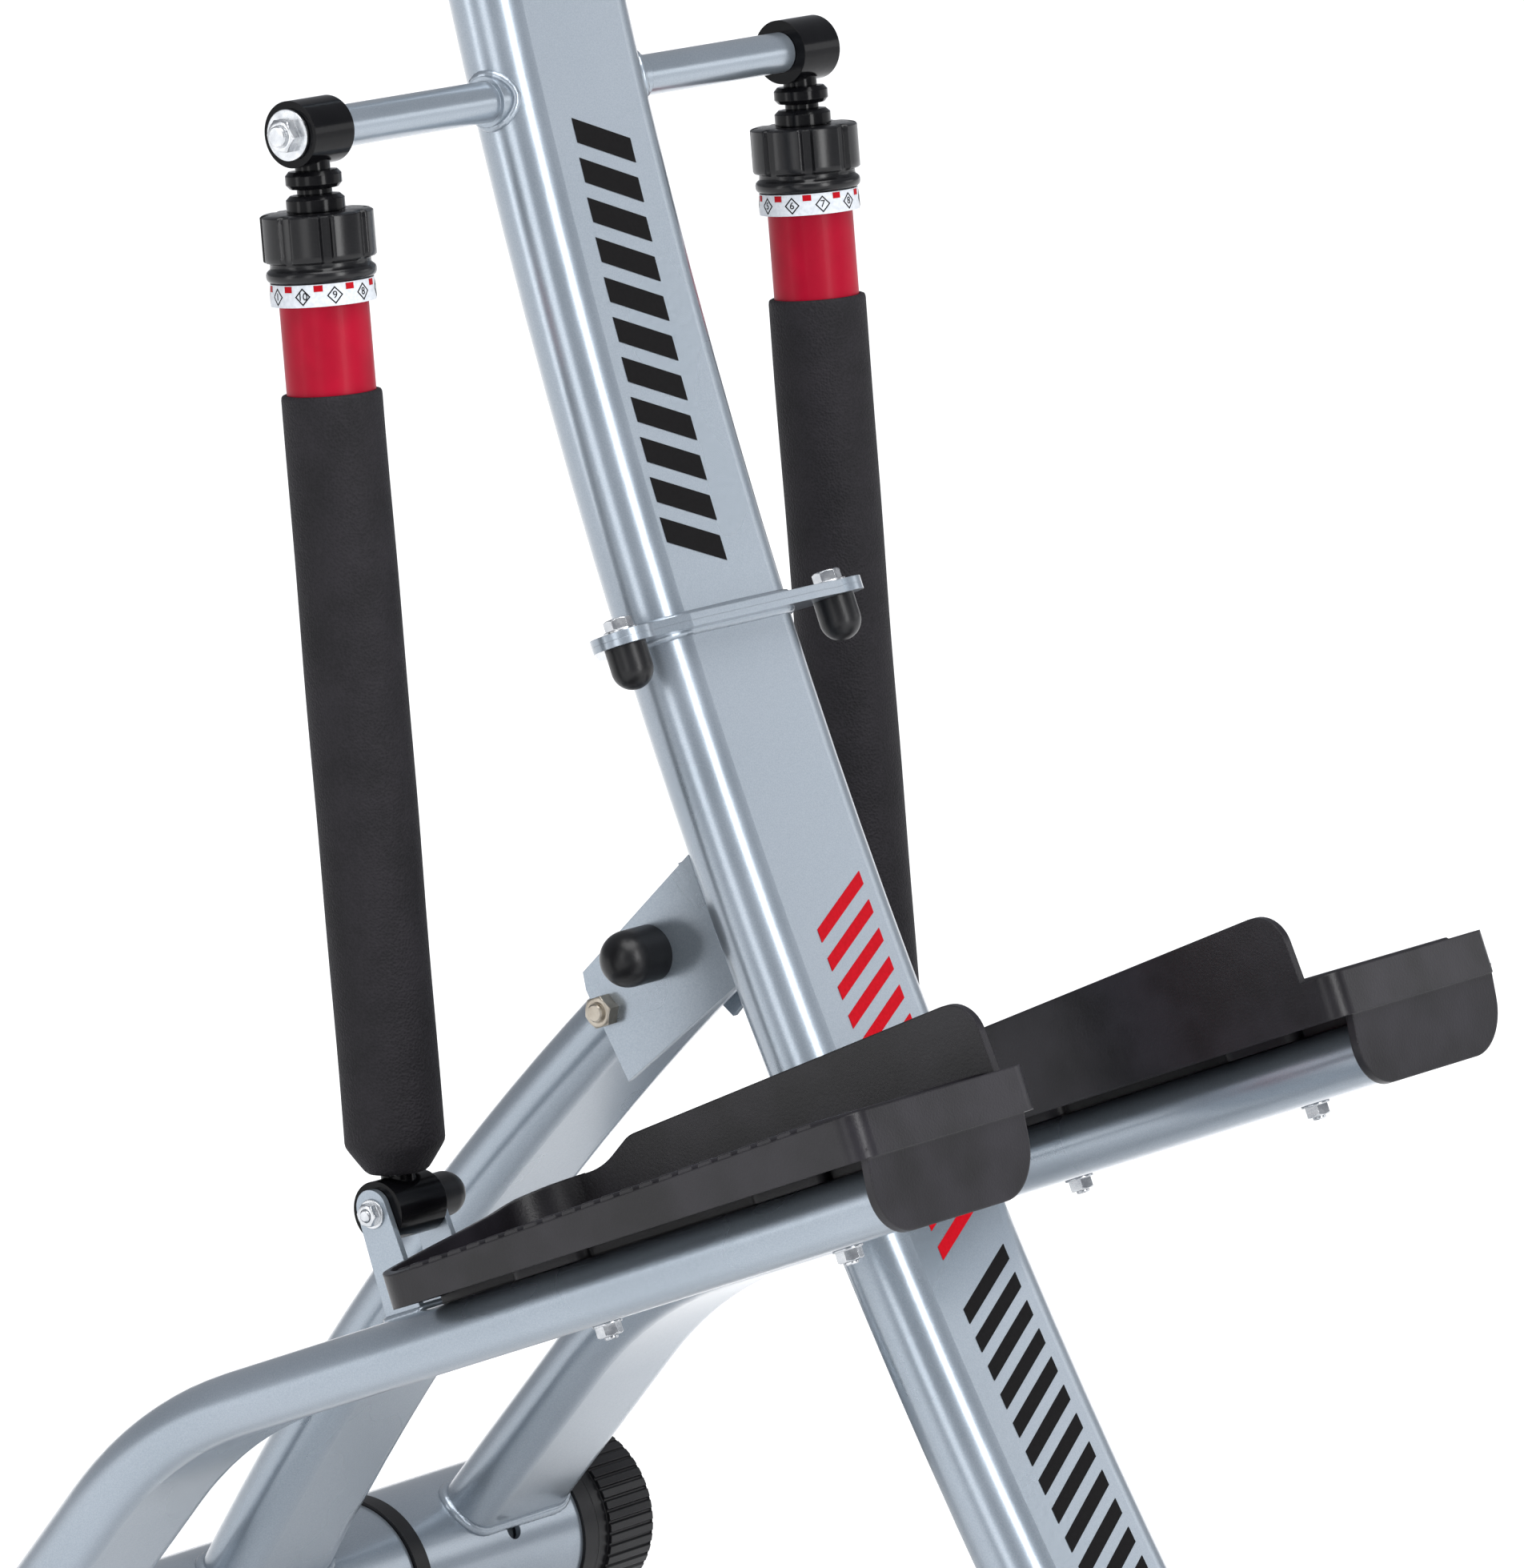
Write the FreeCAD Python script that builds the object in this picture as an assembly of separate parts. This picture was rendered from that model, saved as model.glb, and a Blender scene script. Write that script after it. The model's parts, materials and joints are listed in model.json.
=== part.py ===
import FreeCAD, Part
import math
import os

# Hydraulic stepper: two pedals on pivoting arms, each held by an adjustable cylinder.
# Millimetres. +X is forward (the way the user faces), +Y the user's left, +Z up, floor at z = 0.
# The origin is below the middle of the machine, half way between the two base tubes.

# Base tubes
base_x = 274.0              # front base tube, and the pivot of both arms, ahead of the origin
axle_z = 42.0               # height of both base tubes' centres
base_radius = 33.0
base_wall = 2.5
base_half_length = 250.0
sleeve_radius = 38.5
leg_sleeve_half = 85.0
cap_radius = 42.0
cap_start = 215.0
cap_end = 258.0
cap_skin = 4.0
cap_rib_depth = 1.1
cap_rib_count = 48
foot_half_width = 16.0
saddle_wall = 4.0
saddle_half = 88.0
saddle_bolt_y = 70.0

# Mast: a flat-oval tube on one large arc, split by a bolted flange
mast_bend = 2500.0
mast_centre = (-2313.0, 1489.0)     # x and z of the arc's centre
mast_width = 97.0
mast_thick = 35.0
mast_wall = 2.0
flange_z = 537.5
mast_top_z = 1206.0
flange_plate = 3.0
flange_ear_y = 72.0
flange_ear_radius = 14.0
flange_ear_back = 14.5
flange_rim = 9.0            # how far the plates stand out in front of the mast
hanger_radius = 9.0
hanger_collar = 11.0

# Front leg: a flat-oval tube on its own arc, from the base sleeve to the bracket on the mast
leg_bend = 1440.0
leg_centre = (-987.0, -657.0)
oval_width = 78.0
oval_thick = 28.0
oval_wall = 2.0
leg_top_z = 414.0
bracket_plate = 3.0
bracket_top = [(-36.0, 458.0), (-29.0, 449.0), (32.5, 386.3), (30.7, 378.6)]
bracket_left_foot = [(7.2, 341.5), (-57.0, 396.2)]
bracket_right_foot = [(24.0, 362.0), (14.0, 355.0), (2.0, 369.0), (-57.0, 425.0)]
bracket_web = (406.0, 450.0)        # heights between which the bracket's web lies on the mast's front
leg_bolt_points = [(-5.0, 400.0), (19.5, 371.3)]
leg_bolt_radius = 4.0

# Pedal arms
side_y = 166.0              # middle of each arm, pedal and cylinder
arm_slope = 22.2            # degrees, rising to the rear
arm_anchor = (-75.7, 285.7)         # a point of the upper run's centre line
arm_corner = (151.2, 193.1)         # where the two runs' centre lines meet
arm_bend = 200.0
arm_rear = 198.0            # length of the upper run behind the anchor
arm_sleeve_inner = 94.5
arm_sleeve_outer = 205.0
bush_radius = 35.5
bush_flange_radius = 40.2
bush_clearance = 0.05
pedal_bolt_runs = [0.0, 138.0]      # places of the pedal bolts along the arm, from the anchor
drain_hole = (155.6, 158.4)         # angle round each arm sleeve and distance from the middle
drain_radius = 4.5

# Pedals, in the arm's own frame: u to the rear along the arm, v square above its centre line
pedal_inner = 106.5         # the mast side of the left pedal
pedal_outer = 227.0
pedal_toe = -67.0
pedal_heel = 211.0
tread_top = 31.0            # v of the tread at the toe
tread_rise = 0.021          # rise of the tread over the arm's own slope
tread_skin = 5.0
skirt_wall = 4.0
skirt_low = 17.5
toe_radii = (28.0, 16.0)    # plan radii at the mast side and at the outside
heel_radius = 10.0
toe_board = [(105.0, 50.0), (112.0, 49.6), (125.0, 48.0), (143.0, 44.5), (164.0, 41.5), (187.0, 38.5),
             (205.0, 36.0), (218.0, 34.0), (228.0, 31.5)]     # y and v of the toe board's top edge
toe_board_end = -39.0
side_wall = [(-25.0, 49.6), (-6.0, 59.3), (193.0, 70.3), (195.0, 36.0)]
side_wall_radii = (34.0, 16.0, 15.0)
flap_inner, flap_outer = 117.0, 222.0
flap_low = -15.5
flap_radius = 22.0
under_rib_y = 20.0          # two ribs under the tread stand on the arm, this far each side of its middle
under_rib_wall = 3.0
pedal_bolt_radius = 3.0

# Cylinders, measured along their axis from the upper eye
upper_eye = (78.0, 763.0)
lower_eye = (32.0, 306.0)
eye_radius = 14.2
eye_length = 25.0
pin_radius = 5.0
head_start = 33.5
dial_end = 62.6
scale_end = 72.0
tube_end = 428.0
foam_start = 110.0
foam_end = 444.0
tube_radius = 19.0
tube_bore = 16.5
foam_radius = 21.6
gland_bore = 10.6
rod_radius = 5.0
piston_radius = 11.0
piston_start = 92.0
piston_end = 110.0
rod_eye_radius = 13.4
rod_eye_length = 30.0
clevis_plate = 3.0
clevis_half_gap = 15.4
clevis_half_width = 8.2
clevis_crown = 2.2          # the plates' round tops are centred this far above the pin

# Handlebar and console
bar_radius = 14.0
bar_wall = 2.0
bar_tilt = 8.0              # degrees, rising to the rear
bar_middle = (176.0, 1230.0)
bar_reach = 232.0
bar_half_width = 212.0
bar_corner = 75.0
grip_length = 130.0
grip_radius = 18.0
console_middle = (190.0, 1304.0)
console_tilt = -50.0        # degrees about Y, from facing up to facing the user
console_half_height = 44.0
console_half_width = 66.0
console_depth = 20.0
console_back_depth = 12.0
console_wall = 2.5
button_radius = 8.5
button_x = -27.0
clamp_half = 25.0
hanger_end = side_y - eye_length / 2 - 0.4

os.makedirs("parts", exist_ok=True)
Vec = FreeCAD.Vector
y_axis = Vec(0, 1, 0)


# Shapes that many pieces share

def at(spot, y=0.0):
    return Vec(spot[0], y, spot[1])


def save(name, *solids):
    shape = solids[0] if len(solids) == 1 else Part.makeCompound(list(solids))
    shape.exportStep(f"parts/{name}.step")


def save_pair(name, *solids):
    """The left piece and its mirror image on the right."""
    save(f"left_{name}", *solids)
    save(f"right_{name}", *[mirrored(solid) for solid in solids])


def mirrored(solid):
    return solid.mirror(Vec(0, 0, 0), y_axis)


def both(solid):
    return [solid, mirrored(solid)]


def cylinder(radius, start, end):
    return Part.makeCylinder(radius, (end - start).Length, start, end - start)


def across(radius, spot, y_from, y_to):
    """A round bar along Y."""
    return cylinder(radius, at(spot, y_from), at(spot, y_to))


def across_ring(outer, inner, spot, y_from, y_to):
    return across(outer, spot, y_from, y_to).cut(across(inner, spot, y_from - 1, y_to + 1))


def hexagon(width, start, end):
    """A hexagonal prism with this width across its flats."""
    axis = end - start
    wire = [Vec(width / math.sqrt(3) * math.cos(math.radians(60 * i)),
                width / math.sqrt(3) * math.sin(math.radians(60 * i)), 0) for i in range(7)]
    prism = Part.Face(Part.makePolygon(wire)).extrude(Vec(0, 0, axis.Length))
    prism.Placement = FreeCAD.Placement(start, FreeCAD.Rotation(Vec(0, 0, 1), axis))
    return prism


def domed_cap(radius, start, direction, height):
    """A closed cap over a nut: a straight skirt under a round dome."""
    along = Vec(direction).normalize()
    skirt = height - radius * 0.8
    body = cylinder(radius, start, start + along * skirt)
    ball = Part.makeSphere(radius, start + along * skirt)
    reach = cylinder(radius * 1.1, start + along * skirt, start + along * (height + radius))
    dome = ball.common(reach)
    return body.fuse(dome).removeSplitter()


def flat_oval(centre, normal, width, thick):
    """A closed flat-oval wire, its long side along Y and its short side along normal."""
    r = thick / 2
    half = y_axis * (width / 2 - r)
    n = normal * r
    tip = y_axis * (width / 2)
    return Part.Wire([
        Part.makeLine(centre + half + n, centre - half + n),
        Part.Arc(centre - half + n, centre - tip, centre - half - n).toShape(),
        Part.makeLine(centre - half - n, centre + half - n),
        Part.Arc(centre + half - n, centre + tip, centre + half + n).toShape()])


def oval_tube(path, start, normal, width, thick, wall):
    outer, inner = [path.makePipeShell([flat_oval(start, normal, width - 2 * t, thick - 2 * t)], True, False)
                    for t in (0, wall)]
    return outer.cut(inner)


def oval_bar(path, start, normal, width, thick):
    return path.makePipeShell([flat_oval(start, normal, width, thick)], True, False)


def arc_point(centre, radius, z):
    """The point of an XZ arc at height z, on its forward side."""
    drop = z - centre[1]
    return Vec(centre[0] + math.sqrt(radius * radius - drop * drop), 0, z)


def arc_path(centre, radius, z_from, z_to):
    ends = [arc_point(centre, radius, z) for z in (z_from, (z_from + z_to) / 2, z_to)]
    return Part.Wire([Part.Arc(*ends).toShape()])


def arc_normal(centre, radius, z):
    """The unit vector from the arc's centre to its point at height z."""
    return (arc_point(centre, radius, z) - at(centre)).normalize()


def slab(outline, y_from, y_to):
    """A flat plate: an XZ outline carried along Y."""
    corners = [at(spot, y_from) for spot in outline]
    return Part.Face(Part.makePolygon(corners + corners[:1])).extrude(y_axis * (y_to - y_from))


def rounded_box(low, high, radius):
    """A box whose edges along Z are rounded."""
    box = Part.makeBox(high[0] - low[0], high[1] - low[1], high[2] - low[2], Vec(*low))
    upright = [e for e in box.Edges if abs(e.tangentAt(e.FirstParameter).z) > 0.9]
    return box.makeFillet(radius, upright)


def placed(shape, origin, turn):
    """A shape turned about Y, its own origin moved to this point."""
    moved = shape.copy()
    moved.Placement = FreeCAD.Placement(origin, FreeCAD.Rotation(y_axis, turn))
    return moved


# Mast, flange and hanger bar

def mast_section(z_from, z_to, extra=0.0):
    return oval_bar(arc_path(mast_centre, mast_bend, z_from, z_to), arc_point(mast_centre, mast_bend, z_from),
                    arc_normal(mast_centre, mast_bend, z_from), mast_width + extra, mast_thick + extra)


def mast_tube(z_from, z_to):
    return oval_tube(arc_path(mast_centre, mast_bend, z_from, z_to), arc_point(mast_centre, mast_bend, z_from),
                     arc_normal(mast_centre, mast_bend, z_from), mast_width, mast_thick, mast_wall)


def flange_frame():
    """The flange's centre, its forward direction and the mast's upward direction there."""
    forward = arc_normal(mast_centre, mast_bend, flange_z)
    return arc_point(mast_centre, mast_bend, flange_z), forward, Vec(-forward.z, 0, forward.x)


def flange_plates():
    """Two equal plates with an ear each side; the lower one is bolted under the upper one."""
    centre, forward, up = flange_frame()
    side = mast_width / 2 - 6
    corners = [
        centre + forward * (mast_thick / 2 + flange_rim) + y_axis * side,
        centre + forward * (mast_thick / 2 + flange_rim) - y_axis * side,
        centre - forward * (mast_thick / 2 + flange_rim + 3) - y_axis * side,
        centre - forward * (mast_thick / 2 + flange_rim + 3) + y_axis * side]
    plates = []
    for sign in (1, -1):
        plate = Part.Face(Part.makePolygon(corners + corners[:1])).extrude(up * (flange_plate * sign))
        for y in (flange_ear_y, -flange_ear_y):
            ear = centre - forward * flange_ear_back + y_axis * y
            plate = plate.fuse(cylinder(flange_ear_radius, ear, ear + up * (flange_plate * sign)))
            front = centre + forward * (mast_thick / 2 + flange_rim) + y_axis * math.copysign(side, y)
            back = centre - forward * (mast_thick / 2 + flange_rim + 3) + y_axis * math.copysign(side, y)
            outer = y_axis * math.copysign(flange_ear_radius * 0.62, y)
            web = [front, ear + forward * (flange_ear_radius * 0.78) + outer,
                   ear - forward * (flange_ear_radius * 0.78) + outer, back]
            plate = plate.fuse(Part.Face(Part.makePolygon(web + web[:1])).extrude(up * (flange_plate * sign)))
        for y in (flange_ear_y, -flange_ear_y):
            ear = centre - forward * flange_ear_back + y_axis * y
            plate = plate.cut(cylinder(4.3, ear - up * 9, ear + up * 9))
        plates.append(plate.removeSplitter())
    return plates


def make_mast():
    centre, forward, up = flange_frame()
    upper_plate, lower_plate = flange_plates()
    beyond = flange_plate + 0.02
    upper = mast_tube(flange_z + beyond * up.z, mast_top_z)
    rear_tube = across(base_radius + saddle_wall, (-base_x, axle_z), -80, 80)
    lower = mast_tube(flange_z - beyond * up.z, axle_z + 4).cut(rear_tube)
    lower = max(lower.Solids, key=lambda solid: solid.Volume)
    bar_bore = across(hanger_radius + 0.02, upper_eye, -90, 90)
    save("mast_upper", upper.cut(bar_bore))
    save("mast_lower", lower)
    save("mast_flange_upper", upper_plate)
    save("mast_flange_lower", lower_plate)
    bolts = []
    caps = []
    for y in (flange_ear_y, -flange_ear_y):
        ear = centre - forward * flange_ear_back + y_axis * y
        shank = cylinder(4.0, ear - up * 12, ear + up * flange_plate)
        washer = cylinder(7.6, ear + up * flange_plate, ear + up * (flange_plate + 1.4))
        head = hexagon(11.0, ear + up * (flange_plate + 1.4), ear + up * (flange_plate + 6.2))
        bolts.append(shank.fuse([washer, head]).removeSplitter())
        hollow = cylinder(4.02, ear, ear - up * 12.1)
        caps.append(domed_cap(9.2, ear - up * flange_plate, -up, 17.5).cut(hollow))
    save("flange_bolts", *bolts)
    return caps


def make_hanger_bar():
    """The round bar through the mast that both cylinders hang from, with its weld collars."""
    bar = across(hanger_radius, upper_eye, -hanger_end, hanger_end)
    collar = across(hanger_collar, upper_eye, mast_width / 2 - 6, mast_width / 2 + 2.5).cut(mast_section(680, 850))
    collar = max(collar.Solids, key=lambda solid: solid.BoundBox.YMax)
    bar = bar.fuse(both(collar)).removeSplitter()
    for thread in both(across(pin_radius, upper_eye, hanger_end - 22, hanger_end + 30)):
        bar = bar.cut(thread)
    outer = side_y + eye_length / 2
    shank = across(pin_radius, upper_eye, hanger_end - 22, outer + 0.4)
    washer = across(11.0, upper_eye, outer + 0.4, outer + 2.2)
    head = hexagon(13.0, at(upper_eye, outer + 2.2), at(upper_eye, outer + 7.0))
    boss = across(4.5, upper_eye, outer + 7.0, outer + 9.0)
    save("hanger_bar", bar)
    save("hanger_bolts", *both(shank.fuse([washer, head, boss]).removeSplitter()))


# Front leg and its bracket

def make_leg():
    axle = (base_x, axle_z)
    sleeve = across_ring(sleeve_radius, base_radius, axle, -leg_sleeve_half, leg_sleeve_half)
    path = arc_path(leg_centre, leg_bend, axle_z, leg_top_z)
    start = arc_point(leg_centre, leg_bend, axle_z)
    leg = oval_tube(path, start, arc_normal(leg_centre, leg_bend, axle_z), oval_width, oval_thick, oval_wall)
    leg = leg.cut(across(sleeve_radius, axle, -60, 60))
    leg = max(leg.Solids, key=lambda solid: solid.Volume)
    inner = oval_width / 2 + 0.3
    outer = inner + bracket_plate
    plates = slab(bracket_top + bracket_left_foot, inner, outer).fuse(
        slab(bracket_top + bracket_right_foot, -outer, -inner))
    web = []
    for z, depth in ((bracket_web[0], -2.0), (bracket_web[1], -2.0), (bracket_web[1], bracket_plate),
                     (bracket_web[0], bracket_plate)):
        forward = arc_normal(mast_centre, mast_bend, z)
        spot = arc_point(mast_centre, mast_bend, z) + forward * (mast_thick / 2 + depth)
        web.append((spot.x, spot.z))
    web_plate = slab(web, -outer, outer)
    leg_body = oval_bar(path, start, arc_normal(leg_centre, leg_bend, axle_z), oval_width, oval_thick)
    bracket = plates.fuse(web_plate).cut(mast_section(330, 500))
    bracket = bracket.cut(leg_body)
    bracket = max(bracket.Solids, key=lambda solid: solid.Volume)
    bolts = []
    nuts = []
    for spot in leg_bolt_points:
        hole = across(leg_bolt_radius, spot, -60, 60)
        leg = leg.cut(hole)
        bracket = bracket.cut(hole)
        reach = outer + 8.5
        shank = across(leg_bolt_radius, spot, -outer, reach)
        head = hexagon(13.0, at(spot, -outer), at(spot, -outer - 5.6))
        bolts.append(shank.fuse(head).removeSplitter())
        nuts.append(hexagon(13.0, at(spot, outer), at(spot, outer + 6.5)).cut(across(leg_bolt_radius, spot, 30, 80)))
    save("front_leg", leg)
    save("leg_sleeve", sleeve)
    save("leg_bracket", bracket)
    save("leg_bolts", *bolts, *nuts)
    spot = leg_bolt_points[0]
    cap = domed_cap(12.4, at(spot, outer), y_axis, 25.0)
    return cap.cut(hexagon(13.0, at(spot, outer), at(spot, outer + 6.5)).fuse(across(leg_bolt_radius, spot, 30, reach)))


# Base tubes and end caps

def ribbed_bar(radius, depth, count, spot, y_from, y_to):
    """A bar along Y with a rib at every step round it."""
    corners = []
    for i in range(count):
        for share, r in ((0.0, radius), (0.62, radius), (0.74, radius - depth), (0.88, radius - depth)):
            angle = 2 * math.pi * (i + share) / count
            corners.append(Vec(spot[0] + r * math.cos(angle), y_from, spot[1] + r * math.sin(angle)))
    return Part.Face(Part.makePolygon(corners + corners[:1])).extrude(y_axis * (y_to - y_from))


def end_cap(spot):
    """A ribbed cup pushed over a base tube's end, with a smooth collar and a flat foot."""
    collar = across(cap_radius - 2.0, spot, cap_start, cap_start + 8.0)
    ribs = ribbed_bar(cap_radius, cap_rib_depth, cap_rib_count, spot, cap_start + 7.0, cap_end - 5.0)
    nose = Part.makeCone(cap_radius - 0.4, cap_radius - 7.0, 5.0, at(spot, cap_end - 5.0), y_axis)
    foot = Part.makeBox(2 * foot_half_width, cap_end - cap_start - 14.0, 12.0,
                        Vec(spot[0] - foot_half_width, cap_start + 8.0, 0))
    solid = ribs.fuse([collar, nose, foot]).removeSplitter()
    below = Part.makeBox(100, 100, 20, Vec(spot[0] - 50, cap_start - 10, -20))
    return solid.cut(below).cut(across(base_radius, spot, cap_start - 1, base_half_length))


def make_base():
    for name, x in (("base_tube", base_x), ("rear_stabilizer", -base_x)):
        spot = (x, axle_z)
        tube = across_ring(base_radius, base_radius - base_wall, spot, -base_half_length, base_half_length)
        if name == "rear_stabilizer":
            for y in (-saddle_bolt_y, saddle_bolt_y):
                tube = tube.cut(cylinder(4.0, Vec(x, y, axle_z - 50), Vec(x, y, axle_z + 50)))
        save(name, tube)
    save("base_end_caps", *both(end_cap((base_x, axle_z))))
    save("rear_end_caps", *both(end_cap((-base_x, axle_z))))
    spot = (-base_x, axle_z)
    shell = across_ring(base_radius + saddle_wall, base_radius, spot, -saddle_half, saddle_half)
    keep = Part.makeBox(120, 200, 60, Vec(-base_x - 60, -100, axle_z + 6))
    saddle = shell.common(keep)
    bolts = []
    for y in (-saddle_bolt_y, saddle_bolt_y):
        top = Vec(-base_x, y, axle_z + base_radius + saddle_wall)
        low = Vec(-base_x, y, axle_z - base_radius)
        saddle = saddle.cut(cylinder(4.0, low, top + Vec(0, 0, 4)))
        shank = cylinder(4.0, low - Vec(0, 0, 1), top + Vec(0, 0, 8))
        nut = hexagon(13.0, top + Vec(0, 0, 0.6), top + Vec(0, 0, 7.0))
        head = cylinder(8.0, low - Vec(0, 0, 4.0), low - Vec(0, 0, 1.0))
        bolts.append(shank.fuse([nut, head]).removeSplitter())
    save("rear_saddle", saddle)
    save("rear_bolts", *bolts)


# Pedal arms

def along_arm(u, v, y=side_y):
    """A point of the arm's own frame: u to the rear along the upper run, v square above its centre line."""
    slope = math.radians(arm_slope)
    return Vec(arm_anchor[0] - u * math.cos(slope) + v * math.sin(slope), y,
               arm_anchor[1] + u * math.sin(slope) + v * math.cos(slope))


def make_arm():
    pivot = at((base_x, axle_z), side_y)
    corner = at(arm_corner, side_y)
    rear = along_arm(arm_rear, 0.0)
    down = (pivot - corner).normalize()
    back = (rear - corner).normalize()
    half_turn = (math.pi - math.acos(down.dot(back))) / 2
    tangent = arm_bend * math.tan(half_turn)
    first = corner + down * tangent
    last = corner + back * tangent
    inner = (down + back).normalize()
    middle = corner + inner * (arm_bend / math.cos(half_turn) - arm_bend)
    path = Part.Wire([Part.makeLine(pivot, first), Part.Arc(first, middle, last).toShape(),
                      Part.makeLine(last, rear)])
    normal = Vec(-down.z, 0, down.x)
    outer = oval_bar(path, pivot, normal, oval_width, oval_thick)
    hollow = oval_bar(path, pivot, normal, oval_width - 2 * oval_wall, oval_thick - 2 * oval_wall)
    hub = across(sleeve_radius, (base_x, axle_z), arm_sleeve_inner - 10, arm_sleeve_outer + 10)
    tube = outer.cut(hollow).cut(hub)
    for u in pedal_bolt_runs:
        tube = tube.cut(cylinder(pedal_bolt_radius + 0.1, along_arm(u, -30), along_arm(u, 30)))
    tube = max(tube.Solids, key=lambda solid: solid.Volume)
    save_pair("arm_tube", tube)
    sleeve = across_ring(sleeve_radius, bush_radius, (base_x, axle_z), arm_sleeve_inner, arm_sleeve_outer)
    angle = math.radians(drain_hole[0])
    outward = Vec(math.cos(angle), 0, math.sin(angle))
    drain = at((base_x, axle_z), drain_hole[1])
    save_pair("arm_sleeve", sleeve.cut(cylinder(drain_radius, drain, drain + outward * 50)))
    bushes = []
    inner_face = leg_sleeve_half + 0.4
    outer_face = cap_start - 0.4
    for flange_from, flange_to, stem_from, stem_to in (
            (inner_face, arm_sleeve_inner, inner_face, arm_sleeve_inner + 22),
            (arm_sleeve_outer, outer_face, arm_sleeve_outer - 22, outer_face)):
        bush = across(bush_flange_radius, (base_x, axle_z), flange_from, flange_to)
        bush = bush.fuse(across(bush_radius, (base_x, axle_z), stem_from, stem_to))
        bushes.append(bush.cut(across(base_radius + bush_clearance, (base_x, axle_z), 70, 240)).removeSplitter())
    save_pair("pivot_bushes", *bushes)


def make_clevis():
    """A U bracket on the arm, its two upright plates round the rod's eye."""
    pin = at(lower_eye, side_y)
    slope = math.radians(arm_slope)
    normal = Vec(math.sin(slope), 0, math.cos(slope))
    rearward = Vec(-math.cos(slope), 0, math.sin(slope))
    rise = (pin - along_arm(0, oval_thick / 2)).dot(normal)
    foot = pin - normal * rise
    half = clevis_half_width
    plates = []
    for y_from in (clevis_half_gap, -clevis_half_gap - clevis_plate):
        shift = y_axis * y_from
        crown = pin + normal * clevis_crown + shift
        corners = [foot + rearward * (half + 2) + shift, crown + rearward * half,
                   crown - rearward * half, foot - rearward * (half + 2) + shift]
        plate = Part.Face(Part.makePolygon(corners + corners[:1])).extrude(y_axis * clevis_plate)
        plates.append(plate.fuse(cylinder(half, crown, crown + y_axis * clevis_plate)))
    reach = clevis_half_gap + clevis_plate
    corners = [foot + rearward * (half + 2), foot - rearward * (half + 2),
               foot - rearward * (half + 2) + normal * clevis_plate, foot + rearward * (half + 2) + normal * clevis_plate]
    floor = Part.Face(Part.makePolygon(corners + corners[:1])).extrude(y_axis * (2 * reach))
    floor.translate(y_axis * -reach)
    hole = cylinder(pin_radius, pin - y_axis * 40, pin + y_axis * 40)
    save_pair("clevis", floor.fuse(plates).cut(hole).removeSplitter())
    outer = pin + y_axis * reach
    inner = pin - y_axis * reach
    shank = cylinder(pin_radius, inner - y_axis * 8, outer)
    head = hexagon(9.0, outer + y_axis * 1.2, outer + y_axis * 4.8)
    washer = cylinder(6.4, outer, outer + y_axis * 1.2)
    save_pair("clevis_bolt", shank.fuse([head, washer]).removeSplitter())
    cap = domed_cap(9.8, inner, -y_axis, 17.5)
    save_pair("clevis_cap", cap.cut(cylinder(pin_radius, inner, inner - y_axis * 8)))


# Pedals

def tread_v(u):
    return tread_top + tread_rise * (u - pedal_toe)


def uv_slab(outline, y_from, y_to):
    """A plate in the arm's frame: an outline of (u, v) points carried along Y."""
    corners = [along_arm(u, v, y_from) for u, v in outline]
    return Part.Face(Part.makePolygon(corners + corners[:1])).extrude(y_axis * (y_to - y_from))


def plan_prism(inset, v_from, v_to):
    """The pedal's plan outline, its corners rounded, moved inward by inset and standing from v_from to v_to."""
    u_from, u_to = pedal_toe + inset, pedal_heel - inset
    y_from, y_to = pedal_inner + inset, pedal_outer - inset
    box = Part.makeBox(u_to - u_from, y_to - y_from, v_to - v_from, Vec(u_from, y_from, v_from))
    for u, y, radius in ((u_from, y_from, toe_radii[0]), (u_from, y_to, toe_radii[1]),
                         (u_to, y_from, heel_radius), (u_to, y_to, heel_radius)):
        corner = [e for e in box.Edges if abs(e.BoundBox.ZLength - (v_to - v_from)) < 0.01
                  and abs(e.CenterOfMass.x - u) < 0.01 and abs(e.CenterOfMass.y - y) < 0.01]
        box = box.makeFillet(radius - inset, corner)
    return into_arm_frame(box)


def into_arm_frame(shape):
    """Local X runs to the rear along the arm, local Y stays across, local Z stands square to the arm."""
    u_dir = along_arm(1, 0) - along_arm(0, 0)
    v_dir = along_arm(0, 1) - along_arm(0, 0)
    origin = along_arm(0, 0, 0)
    flip = shape.mirror(Vec(0, 0, 0), Vec(1, 0, 0))
    turned = flip.copy()
    turned.Placement = FreeCAD.Placement(origin, FreeCAD.Rotation(-u_dir, y_axis, v_dir, "XZY"))
    return turned


def make_side_wall(rim):
    """The tall guard on the mast side, its top corners rounded."""
    low = tread_top - 3.0
    line = [(toe_board_end, low), (toe_board_end, side_wall[0][1])] + side_wall + [(side_wall[-1][0], low)]
    slab_solid = uv_slab(line, pedal_inner - 1, pedal_inner + 8)
    for (u, v), radius in zip(side_wall, side_wall_radii):
        spot = along_arm(u, v)
        corner = [e for e in slab_solid.Edges if e.BoundBox.YLength > 5
                  and math.hypot(e.CenterOfMass.x - spot.x, e.CenterOfMass.z - spot.z) < 0.05]
        slab_solid = slab_solid.makeFillet(radius, corner)
    return rim.common(slab_solid)


def make_toe_board(rim):
    """The rim round the toe, high on the mast side and running down to the tread on the outside."""
    low = tread_top - 3.0
    line = [(toe_board[0][0], low)] + toe_board + [(toe_board[-1][0], low)]
    face = Part.Face(Part.makePolygon([Vec(pedal_toe - 5, y, v) for y, v in line + line[:1]]))
    return rim.common(into_arm_frame(face.extrude(Vec(toe_board_end - pedal_toe + 5, 0, 0))))


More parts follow.
